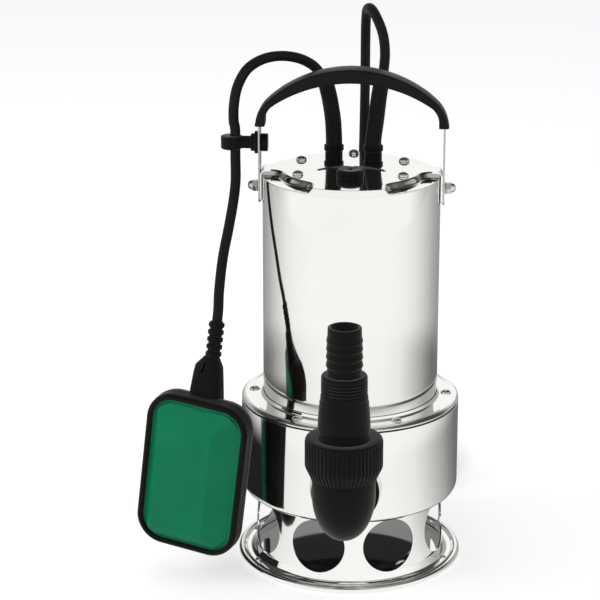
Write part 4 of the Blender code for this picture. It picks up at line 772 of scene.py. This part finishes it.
def glands_and_sleeves():
    top, r, seat = GLAND_TOP + 1.6, 7.6, 309.25
    profile = [(0.0, top, 0), (r * 0.86, top, 0.5), (r, top - 0.7, 0.6), (r, top - 2.0, 0.4),
               (r * 0.93, top - 2.4, 0.2), (r, top - 2.8, 0.4), (r, top - 4.2, 0.6), (r * 0.88, top - 4.9, 0.4),
               (r * 0.88, seat, 0.2), (0.0, seat, 0)]
    for name, x in (("Float_Cable_Gland", -15.0), ("Power_Cable_Gland", 15.0)):
        stands(lathe(name, profile, BLACK, 64, False, Matrix.Translation((x, 38.0, 0)), soften=0.3), "pump")
    for name, route in (("Float_Cable_Sleeve", FLOAT_SLEEVE_ROUTE), ("Power_Cable_Sleeve", POWER_SLEEVE_ROUTE)):
        base = Vector((*route[0][:2], GLAND_TOP - 0.2))
        end = Vector(route[-1])
        end += (end - Vector(route[-2])).normalized() * 6.5
        path = smooth_route([base, base + Vector((0, 0, 6.3)), *route[1:], end], 1.5)
        lip = 0.035
        shares = [k / (len(path) - 1) for k in range(len(path))]
        radii = [6.3 - 0.25 * share - 1.2 * (max(share - 1.0 + lip, 0.0) / lip) ** 2 for share in shares]
        stands(tube(name, path, radii, RUBBER, sides=40), "pump")


# -------- handle and clip

def across(start, end, radius, material=None, segments=32, edge=0.0, name="rod", z=CLIP_Z):
    """A round bar along X, at the height of the clip if nothing else is said."""
    return rod((start, 0, z), (end, 0, z), radius, material, segments, edge, name)


def straps():
    outline = fillet([(8.5, 349.8, 0.5), (-8.5, 349.8, 0.5), (-8.5, 282.8, 5.0), (8.5, 282.8, 5.0)], 1.0, steps=8)
    for name, side in (("Strap_Left", -1), ("Strap_Right", 1)):
        place = Matrix(((0, 0, 1, side * STRAP_MIDDLE_X), (1, 0, 0, 0), (0, 1, 0, 0), (0, 0, 0, 1)))
        strap = plate(name, outline, -0.65, 0.65, STRAP_SHADED_STEEL, place, edge=0.25, steps=2)
        cutters = [across(side * 66, side * 72, 3.0, z=PIVOT_Z)]
        if side < 0:
            cutters.append(across(-66, -72, 3.8))
        stands(combine(strap, cutters), "handle")


def grip_edge(radius, crest, span, switch):
    """Right half of one edge of the arch: a wide arc that turns down through a tighter one."""
    foot, wide_steps, tight_steps = 342.0, 60, 30
    angle = math.radians(switch)
    small = (span - radius * math.sin(angle)) / (1.0 - math.sin(angle))
    middle = crest - radius
    hub = ((radius - small) * math.sin(angle), middle + (radius - small) * math.cos(angle))
    turns = [(0.0, middle, radius, angle * k / wide_steps) for k in range(wide_steps + 1)]
    turns += [(*hub, small, angle + (math.pi / 2 - angle) * k / tight_steps) for k in range(1, tight_steps + 1)]
    points = [Vector((x + r * math.sin(a), z + r * math.cos(a))) for x, z, r, a in turns]
    while points[-1].y < foot:
        points.pop()
    return points + [Vector((span, foot))]


def grip():
    """Arched grip with a nearly flat back, rounded edges and four small pockets, skinned across its edges."""
    count, half = 40, 10.0
    outer = evenly(grip_edge(93.6, 385.6, 72.4, 42.0), count)
    inner = evenly(grip_edge(106.0, 375.0, 64.6, 33.2), count)
    pairs = [(Vector((-o.x, o.y)), Vector((-i.x, i.y))) for o, i in zip(outer[:0:-1], inner[:0:-1])]
    pairs += list(zip(outer, inner))
    loops = []
    for out, into in pairs:
        tall = (out - into).length
        section = fillet([(-half, 0.0, 1.8), (half, 0.0, 1.8), (half, tall - 0.4, 2.4), (0.0, tall, 30.0),
                          (-half, tall - 0.4, 2.4)], 2.0, steps=6)
        axis = (out - into) / tall
        loops.append([(into.x + axis.x * y, x, into.y + axis.y * y) for x, y in section])
    obj = skin("Grip", loops, GRIP, 50.0, ends=True)
    cutters = [block((low, -8.8, 337.0), (high, 8.8, 350.0)) for low, high in ((-69.9, -68.0), (68.0, 69.9))]
    for x, length in ((-52.0, 5.0), (-29.0, 6.0), (14.5, 7.0), (55.0, 8.0)):
        out, into = min(pairs, key=lambda pair: abs(pair[0].x - x))
        up = (out - into).normalized()
        reach = Vector((up.y, -up.x)) * length / 2
        start, end = out - reach, out + reach
        cutters.append(rod((start.x, 4.6, start.y), (end.x, 4.6, end.y), 1.5, None, 24, 1.3))
    stands(combine(obj, cutters, sharp=40.0), "handle")


def pivot_bolts():
    """Hex nut with a domed cap, and the shank that runs through strap and lug."""
    flats = 8.2
    hexagon = [polar(flats / math.sqrt(3.0), TAU * (k + 0.5) / 6) for k in range(6)]
    dome_line = [(0.0, 8.4, 0), (2.6, 8.0, 2.6), (3.55, 5.6, 2.0), (3.75, 4.0, 0), (0.0, 4.0, 0)]
    shank_line = [(0.0, 0.5), (2.7, 0.5), (2.7, -2.4), (0.0, -2.4)]
    for name, side in (("Pivot_Bolt_Left", -1), ("Pivot_Bolt_Right", 1)):
        place = Matrix.Translation((side * 69.7, 0, PIVOT_Z)) @ Matrix.Rotation(side * math.pi / 2, 4, "Y")
        nut = plate(name, hexagon, 0.0, 4.6, SCREW, place, edge=0.35, steps=2, sharp=30.0)
        dome = lathe("dome", dome_line, SCREW, 40, False, place, soften=1.0, steps=8)
        shank = lathe("shank", shank_line, SCREW, 32, False, place)
        stands(combine(nut, [dome, shank], "UNION", sharp=30.0), "pump")


def cable_clip():
    half = 4.85
    clip = rod((-90.0, 0, CLIP_Z - half), (-90.0, 0, CLIP_Z + half), 8.0, BLACK, 64, 0.9, "Cable_Clip")
    arm = across(-87.0, -74.0, half * 0.98, BLACK, 48)
    step = across(-75.4, -72.0, 6.65, BLACK, 48, 0.5)
    disc = across(-72.6, -69.75, 8.5, BLACK, 64, 0.6)
    stem = across(-71.0, -65.0, 3.5, BLACK)
    combine(clip, [arm, step, disc, stem], "UNION")
    bore = rod((CLIP_CABLE_X, 0, 310), (CLIP_CABLE_X, 0, 346), CABLE_R + 0.15)
    stands(combine(clip, [bore], sharp=30.0), "clip")
    cap = across(-68.1, -62.7, 6.75, BLACK, 64, 0.8, "Clip_Cap")
    stands(combine(cap, [across(-69.0, -64.6, 3.6)], sharp=30.0), "handle")


# -------- outlet

def outlet_elbow():
    """Upright body with a long rounded foot and a neck that runs back into the drum."""
    profile = [(0.0, 58.6, 0)]
    for k in range(1, 21):
        a = math.radians(-90 + 90.0 * k / 20)
        profile.append((23.3 * math.cos(a) ** 0.94, 94.3 + 35.7 * math.sin(a), 0))
    profile += [(23.1, 106.7, 0.5), (21.5, 106.7, 0.2), (21.5, 130.0, 0.4), (15.0, 130.0, 0.3), (15.0, 95.0, 4.0),
                (0.0, 95.0, 0)]
    body = lathe("Outlet_Elbow", profile, BLACK, 120, False, OUTLET_PLACE, soften=0.5)
    neck = front_rod(OUTLET_Y + 4.0, -89.6, 21.0, BLACK)
    spigot = front_rod(-91.0, -80.6, 18.6, BLACK)
    combine(body, [neck, spigot], "UNION")
    bore = front_rod(OUTLET_Y, -75.0, 15.0, None, 64)
    well = rod((0, OUTLET_Y, 74.0), (0, OUTLET_Y, 99.0), 15.0, None, 64, 9.0)
    stands(combine(body, [bore, well], sharp=30.0), "pump")
    profile = [(18.9, 4.0, 0.2), (24.6, 4.0, 0.5), (25.4, 2.8, 0.8), (25.4, 0.1, 0.2), (18.9, 0.1, 0.2)]
    stands(lathe("Outlet_Collar", profile, BLACK, 96, place=facing_front(-85.2), soften=0.3), "pump")


def union_nut():
    """Nut with fifty-four ribs that run down over its taper, and a flat rim at the bottom."""
    ribs = 54
    tooth = (0.0, 0.15, 0.62, 0.90, 0.95, 0.90, 0.62, 0.15)
    profile = [(19.5, 134.9, 0), (19.5, 138.2, 0), (19.8, 138.5, 0), (26.0, 138.7, 0), (27.3, 138.2, 0),
               (27.9, 137.4, 0.1), (27.6, 136.6, 0.7), (27.5, 136.0, 1), (27.5, 117.4, 1), (27.2, 116.2, 1),
               (24.0, 109.4, 1), (23.95, 108.7, 0.6), (24.2, 108.2, 0), (24.2, 107.1, 0), (22.1, 107.1, 0),
               (22.1, 134.9, 0)]
    step = TAU / (ribs * len(tooth))
    loops = [[polar(r + high * share, step * k, z) for k, high in enumerate(tooth * ribs)] for r, z, share in profile]
    stands(skin("Union_Nut", loops, BLACK, 34.0, OUTLET_PLACE, ring=True), "nut")


def hose_adapter():
    """Hose tail with round barbs, a threaded step under a flat shoulder, and a faintly waved cone."""
    outer = [(10.2, 222.2, 0.3), (12.2, 222.2, 0.7), (12.4, 215.6, 1.5)]
    z = 215.6
    for k in range(4):
        swell = 13.1 + 0.1 * k
        outer += [(swell, z - 3.1, 1.2), (swell, z - 4.0, 0.7), (12.5, z - 5.3, 0.8)]
        z -= 6.1
    shoulder = z - 4.6
    outer += [(12.45, shoulder - 1.8, 0.2), (13.2, shoulder - 1.8, 0.2), (13.3, shoulder, 0.3),
              (15.9, shoulder - 0.2, 0.9), (16.7, shoulder - 1.4, 0.9), (16.8, shoulder - 3.2, 0.3)]
    z = shoulder - 3.2
    for k in range(5):
        outer += [(15.6, z - 0.35, 0.2), (15.6, z - 0.85, 0.2), (16.85, z - 1.2, 0.35), (16.9, z - 2.1, 0.35)]
        z -= 2.45
    cone, foot, steps = z - 0.9, 145.0, 6
    for k in range(steps + 1):
        share = k / steps
        radius = 17.3 + 1.85 * math.sin(share * math.pi / 2) ** 0.8
        outer.append((radius, cone - (cone - foot) * share, 1.5))
        if k < steps:
            outer.append((radius + 0.02, cone - (cone - foot) * (share + 0.6 / steps), 1.0))
    outer += [(18.6, foot - 1.6, 0.4), (18.4, foot - 3.2, 0.2), (19.1, foot - 3.4, 0.3), (19.1, foot - 4.6, 0.3),
              (18.9, foot - 4.8, 0.2), (19.2, 139.2, 0.3), (19.3, 136.2, 0.2), (19.3, 134.5, 0.2), (21.4, 134.5, 0.2),
              (21.4, 130.3, 0.2), (15.0, 130.3, 0.2), (15.0, 165.0, 3.0), (12.5, shoulder - 4.5, 3.0),
              (10.2, shoulder + 3.0, 3.0)]
    adapter = lathe("Hose_Adapter", outer, BLACK, 120, place=OUTLET_PLACE, sharp=40.0, soften=0.3, steps=3)
    hide_from(adapter, "glossy")
    stands(adapter, "pump")


# -------- float

FLOAT_W = 82.0
FLOAT_H = 123.6
FLOAT_CORNER = 22.0
FLOAT_FRAME = (Matrix.Translation((-118.0, -73.0, 87.0)) @ Matrix.Rotation(math.radians(-16.6), 4, "Z")
               @ Matrix.Rotation(math.radians(7.0), 4, "Y") @ Matrix.Translation((0, 16.0, 0)))
CASE_FRAME = FLOAT_FRAME @ Matrix.Translation((0.5, 0, 0))


def rounded_rectangle(inset):
    """Loop round the float at an inset, with the same number of points at every inset."""
    corner_steps, side_steps = 12, 22
    r = max(FLOAT_CORNER - inset, 0.6)
    half_x, half_z = FLOAT_W / 2 - inset - r, FLOAT_H / 2 - inset - r
    corners = []
    for cx, cz, start in ((1, 1, 0), (-1, 1, 90), (-1, -1, 180), (1, -1, 270)):
        line = arc((cx * half_x, cz * half_z), r, start, start + 90, corner_steps)
        corners.append([Vector(p[:2]) for p in line])
    result = []
    for corner, following in zip(corners, corners[1:] + corners[:1]):
        result += corner
        result += [corner[-1].lerp(following[0], k / side_steps) for k in range(1, side_steps)]
    return result


def float_case():
    """Frame swept round a rounded rectangle: a front lip, a short side and a back that falls away."""
    section = [(4.7, -13.2, 0.3), (4.5, -14.0, 0.4), (2.2, -14.2, 1.4), (0.5, -12.2, 1.6), (0.2, -8.2, 0.3),
               (0.55, -7.8, 0.3), (0.0, -2.0, 9.0), (0.9, 2.5, 9.0), (4.2, 9.0, 8.0), (8.0, 12.8, 3.0),
               (10.4, 13.6, 0.5), (10.7, 12.6, 0.3)]
    line = fillet(section, 0.5, steps=6)
    loops = [[(p.x, depth, p.y) for p in rounded_rectangle(inset)] for inset, depth in line]
    stands(skin("Float_Frame", loops, BLACK, 45.0, CASE_FRAME, ring=True), "float", "float_case")


def panel_rise(x, z):
    """Height of the green panel's faceted swelling over its rim, in millimetres."""
    left = (x + 33.5) / 5.5
    right = (34.0 - x) / 20.0
    top = (57.5 - z) / 21.0
    low = (z + 57.5) / 10.5
    share = min(max(min(left, right, top, low), 0.0), 1.0)
    dip = math.hypot((x - 3.0) / 11.0, (z - 60.0) / 8.5)
    return 5.4 * share - 1.8 * ease(1.6 - 1.6 * dip)


def float_panels():
    face, grid = 11.3, 0.8
    for name, side, rim in (("Float_Panel_Front", -1, 4.9), ("Float_Panel_Back", 1, 11.0)):
        levels = [(0.0, 8.5), (0.0, 10.9), (0.2, 11.5), (0.7, 11.85), (1.5, 11.9), (1.9, 11.35), (2.3, face)]
        levels += [(2.6 + grid * k, None) for k in range(int((FLOAT_W / 2 - rim - 3.4) / grid))]
        loops = []
        for inset, depth in levels:
            loops.append([])
            for p in rounded_rectangle(rim + inset):
                d = depth if depth is not None else face + panel_rise(p.x * -side, p.y)
                loops[-1].append((p.x, side * d, p.y))
        stands(skin(name, loops, GREEN, 30.0, CASE_FRAME, ends=True), "float")


def strain_relief():
    """Ribbed sleeve over a finely ridged neck that widens down to the front of the float."""
    line = RELIEF_BOTTOM - RELIEF_TOP
    groove, ribs, start = 4.8, 5, 0.8
    pitch = (line.length - start) / ribs
    marks = [(0.0, 4.5), (0.3, groove), (start, groove)]
    for k in range(ribs):
        s = start + pitch * k
        marks += [(s + 0.1, groove), (s + 0.45, 5.75), (s + 0.9, 6.05), (s + pitch * 0.62, 6.0),
                  (s + pitch * 0.72, 5.6), (s + pitch * 0.78, 4.85), (s + pitch, groove)]
    marks.append((line.length + 3.0, 4.75))
    path = [RELIEF_TOP + line.normalized() * s for s, r in marks]
    sleeve = tube("sleeve", path, [r for s, r in marks], BLACK, sides=40, sharp=35.0)

    local = FLOAT_FRAME.inverted() @ RELIEF_BOTTOM
    base, high = 63.0, local.z + 2.0
    rows = [(high, -0.6, 5.2, 4.9, 0.0, 2.0), (high - 2.0, -1.0, 6.3, 5.6, 0.0, 2.2),
            (high - 8.5, -2.0, 10.4, 7.6, -0.6, 2.8), (high - 15.0, -1.6, 11.2, 8.4, -1.8, 3.0),
            (base + 1.0, -0.3, 12.2, 9.6, -4.6, 3.2), (base - 8.6, 0.5, 12.8, 10.0, -5.6, 3.2)]
    sides, ridge = 180, 5
    loops = []
    for z, x, wide, deep, depth, power in rows:
        loops.append([])
        for k in range(sides):
            c, s = math.cos(TAU * k / sides), math.sin(TAU * k / sides)
            size = (abs(c) ** power + abs(s) ** power) ** (-1.0 / power)
            size *= 1.0 - (0.014 if k % ridge == 0 and z < high - 1.0 else 0.0)
            loops[-1].append((local.x + x + wide * size * c, local.y + depth + deep * size * s, z))
    neck = skin("Float_Strain_Relief", loops, BLACK, 40.0, FLOAT_FRAME, ends=True)
    combine(neck, [sleeve], "UNION")
    outline = fillet([(-5.7, -13.2), (-2.5, -13.2), (-1.6, -4.6), (-4.0, -4.6)], 0.6)
    place = FLOAT_FRAME @ Matrix.Translation((local.x - 1.2, local.y, high)) @ Matrix.Rotation(math.pi / 2, 4, "X")
    slot = plate("slot", outline, 4.2, 16.0, None, place)
    stands(combine(neck, [slot], sharp=40.0), "float")


# -------- the rest

INNER = {
    IRON: ("suction_plate", "impeller", "volute_casing", "rotor_core"),
    ALUMINIUM: ("motor_flange", "bearing_bracket"),
    SHAFT: ("lower_bearing", "upper_bearing", "rotor_shaft", "switch_ball"),
    COPPER: ("stator",),
    RUBBER: ("shaft_seal",),
    GRIP: ("float_switch",),
}


def paint_inner_pieces():
    for material, names in INNER.items():
        for name in names:
            data = NODES[name].data
            data.materials.clear()
            data.materials.append(material)


for build in (base_plate, strainer_skirt, screws, pump_housing, housing_cover, motor_shell, top_lid, vent_plug,
              glands_and_sleeves, straps, grip, pivot_bolts, cable_clip, outlet_elbow, union_nut, hose_adapter,
              float_case, float_panels, strain_relief, paint_inner_pieces):
    build()


# -------- floor, light and backdrop

class Studio(Nodes):
    """Nodes for what stands round the object, whose tones go by the angle away from the front."""

    def glow(self, grey):
        return self.add("Emission", (grey, grey, grey, 1.0) if isinstance(grey, float) else grey)

    def axes(self, vector):
        return self.add("SeparateXYZ", vector, out=None)

    def position(self):
        return self.axes(self.add("NewGeometry", out="Position"))

    def turn_from_front(self, axes):
        """Angle away from the front, in degrees, of a point or direction."""
        turn = self.maths("ARCTAN2", axes["X"], self.maths("MULTIPLY", axes["Y"], -1.0))
        return self.maths("MULTIPLY", self.maths("ABSOLUTE", turn), 180.0 / math.pi)

    def tone_by(self, turn, stops):
        """Grey that follows an angle through (degrees, tone) stops."""
        greys = [(degrees / 180.0, (tone, tone, tone * 0.985)) for degrees, tone in stops]
        return self.ramp(self.maths("DIVIDE", turn, 180.0), greys)

    def between(self, value, low, high):
        return self.add("MapRange", interpolation_type="SMOOTHSTEP", From_Min=low, From_Max=high, Value=value)

    def blend_tones(self, share, first, second):
        return self.add("Mix", share, *[None] * 5, first, second, out=2, data_type="RGBA")

    def direct(self, rays):
        """One for what the camera sees, also through glass."""
        return self.maths("MAXIMUM", rays["Is Camera Ray"], rays["Is Transmission Ray"])


# tones, by degrees from the front, of the floor's glow seen only in reflections, far from the object and near it: a
# painted reflection of lit and shaded sides
FAR_FLOOR_PAINTED_REFLECTION = ((0, 1.0), (45, 1.0), (70, 0.95), (87, 0.86), (107, 0.66), (128, 0.44), (146, 0.34), (180, 0.31))
NEAR_FLOOR_PAINTED_REFLECTION = ((0, 1.0), (40, 0.97), (65, 0.88), (92, 0.54), (117, 0.27), (133, 0.17), (180, 0.15))
SKY_ROUND = ((0, 1.0), (80, 1.0), (100, 0.7), (118, 0.42), (160, 0.42), (169, 1.0), (180, 1.0))
CEILING_ROUND = ((0, 0.45), (60, 0.45), (95, 0.12), (120, 0.06), (180, 0.06))
FLOOR_LIFT = 0.42
WHITE = (1.0, 1.0, 1.0, 1.0)


def stage_piece(name, vertices, faces):
    """A mesh in metres that is only set dressing, and the nodes of its material."""
    mesh = bpy.data.meshes.new(name)
    mesh.from_pydata(vertices, [], faces)
    obj = bpy.data.objects.new(name, mesh)
    SCENE.collection.objects.link(obj)
    material = bpy.data.materials.new(name)
    material.use_nodes = True
    mesh.materials.append(material)
    return obj, Studio(material.node_tree)


def card(name, azimuths, radius, low, high, tone, soft_top=0.0, soft_end=0.0):
    """A curved card beside the object that glows a grey tone seen only in what mirrors it, with edges that can fade
    out; it paints a reflection, and paints shade where it is dark.
    """
    steps = 24
    vertices = []
    for k in range(steps + 1):
        a = math.radians(azimuths[0] + (azimuths[1] - azimuths[0]) * k / steps)
        vertices += [(radius * math.sin(a), -radius * math.cos(a), z) for z in (low, high)]
    faces = [(k, k + 2, k + 3, k + 1) for k in range(0, 2 * steps, 2)]
    obj, nodes = stage_piece(name, vertices, faces)
    hide_from(obj, "camera", "diffuse", "shadow", "transmission")
    nodes.tree.nodes.remove(nodes.tree.nodes["Principled BSDF"])
    seen = nodes.glow(tone)
    if soft_top > 0.0:
        place = nodes.position()
        far = max(abs(a) for a in azimuths)
        fade = nodes.maths("MAXIMUM", nodes.between(place["Z"], high - soft_top, high),
                           nodes.between(nodes.turn_from_front(place), far - soft_end, far))
        seen = nodes.add("MixShader", fade, seen, nodes.add("BsdfTransparent"))
    nodes.show(seen)


def make_floor():
    """White floor that keeps the shadow; what mirrors it sees a painted reflection instead: a glow that darkens to
    the back by angle, standing in for a studio lit at the front and shaded behind.
    """
    size = 6.0
    corners = [(-size, -size, 0), (size, -size, 0), (size, size, 0), (-size, size, 0)]
    nodes = stage_piece("floor", corners, [(0, 1, 2, 3)])[1]
    rays = nodes.add("LightPath", out=None)
    shader = nodes.tree.nodes["Principled BSDF"]
    for key, value in (("Base Color", (0.93, 0.93, 0.93, 1.0)), ("Roughness", 1.0), ("Specular IOR Level", 0.0),
                       ("Emission Color", WHITE),
                       ("Emission Strength", nodes.maths("MULTIPLY", nodes.direct(rays), FLOOR_LIFT))):
        nodes.put(value, shader.inputs[key])
    place = nodes.position()
    turn = nodes.turn_from_front(place)
    reach = nodes.maths("SQRT", nodes.maths("ADD", nodes.maths("POWER", place["X"], 2.0),
                                            nodes.maths("POWER", place["Y"], 2.0)))
    painted_reflection = nodes.blend_tones(nodes.between(reach, 0.40, 0.60), nodes.tone_by(turn, NEAR_FLOOR_PAINTED_REFLECTION),
                                 nodes.tone_by(turn, FAR_FLOOR_PAINTED_REFLECTION))
    # reflections see the painted glow in place of the lit floor
    nodes.show(nodes.add("MixShader", rays["Is Glossy Ray"], shader.outputs["BSDF"], nodes.glow(painted_reflection)))


def make_world():
    """White room to the eye, an even light on the object, and a dark ceiling in what mirrors it."""
    world = bpy.data.worlds.new("studio")
    SCENE.world = world
    world.use_nodes = True
    nodes = Studio(world.node_tree)
    rays = nodes.add("LightPath", out=None)
    level = nodes.add("MapRange", nodes.direct(rays), To_Min=0.50, To_Max=1.0)
    plain = nodes.add("Background", WHITE, level)
    axes = nodes.axes(nodes.add("TexCoord", out="Generated"))
    turn = nodes.turn_from_front(axes)
    tones = nodes.blend_tones(nodes.between(axes["Z"], 0.42, 0.58), nodes.tone_by(turn, SKY_ROUND),
                              nodes.tone_by(turn, CEILING_ROUND))
    nodes.show(nodes.add("MixShader", rays["Is Glossy Ray"], plain, nodes.add("Background", tones)))


def soft_box(name, place, size, energy):
    data = bpy.data.lights.new(name, "AREA")
    data.shape = "RECTANGLE"
    data.size, data.size_y = size
    data.energy = energy
    lamp = bpy.data.objects.new(name, data)
    lamp.location = place
    aim = Vector((0.0, 0.0, 0.2)) - Vector(place)
    lamp.rotation_euler = aim.to_track_quat("-Z", "Y").to_euler()
    hide_from(lamp, "glossy")
    SCENE.collection.objects.link(lamp)


make_floor()
make_world()
soft_box("key", (-1.9, -0.7, 1.2), (1.0, 1.2), 17.0)
soft_box("fill", (1.5, -0.3, 0.9), (0.8, 1.2), 2.5)
soft_box("top", (0.0, 0.3, 2.0), (1.6, 1.6), 5.0)
# glowing sheets inside the skirt, seen only in reflections: painted shade in the strainer holes, grey low and near
# black high
card("painted_shade_in_skirt_low", (110, 250), 0.0685, 0.0032, 0.024, 0.24)
card("painted_shade_in_skirt_high", (110, 250), 0.0685, 0.024, 0.0535, 0.02)
# near-black glowing sheet behind the float, seen only in reflections: a painted dark reflection on the drum beside
# the float, fading at its top and far end
card("painted_reflection_behind_float", (-140, -70), 0.155, 0.0, 0.104, 0.015, 0.030, 22.0)

SCENE.view_settings.view_transform = "Standard"
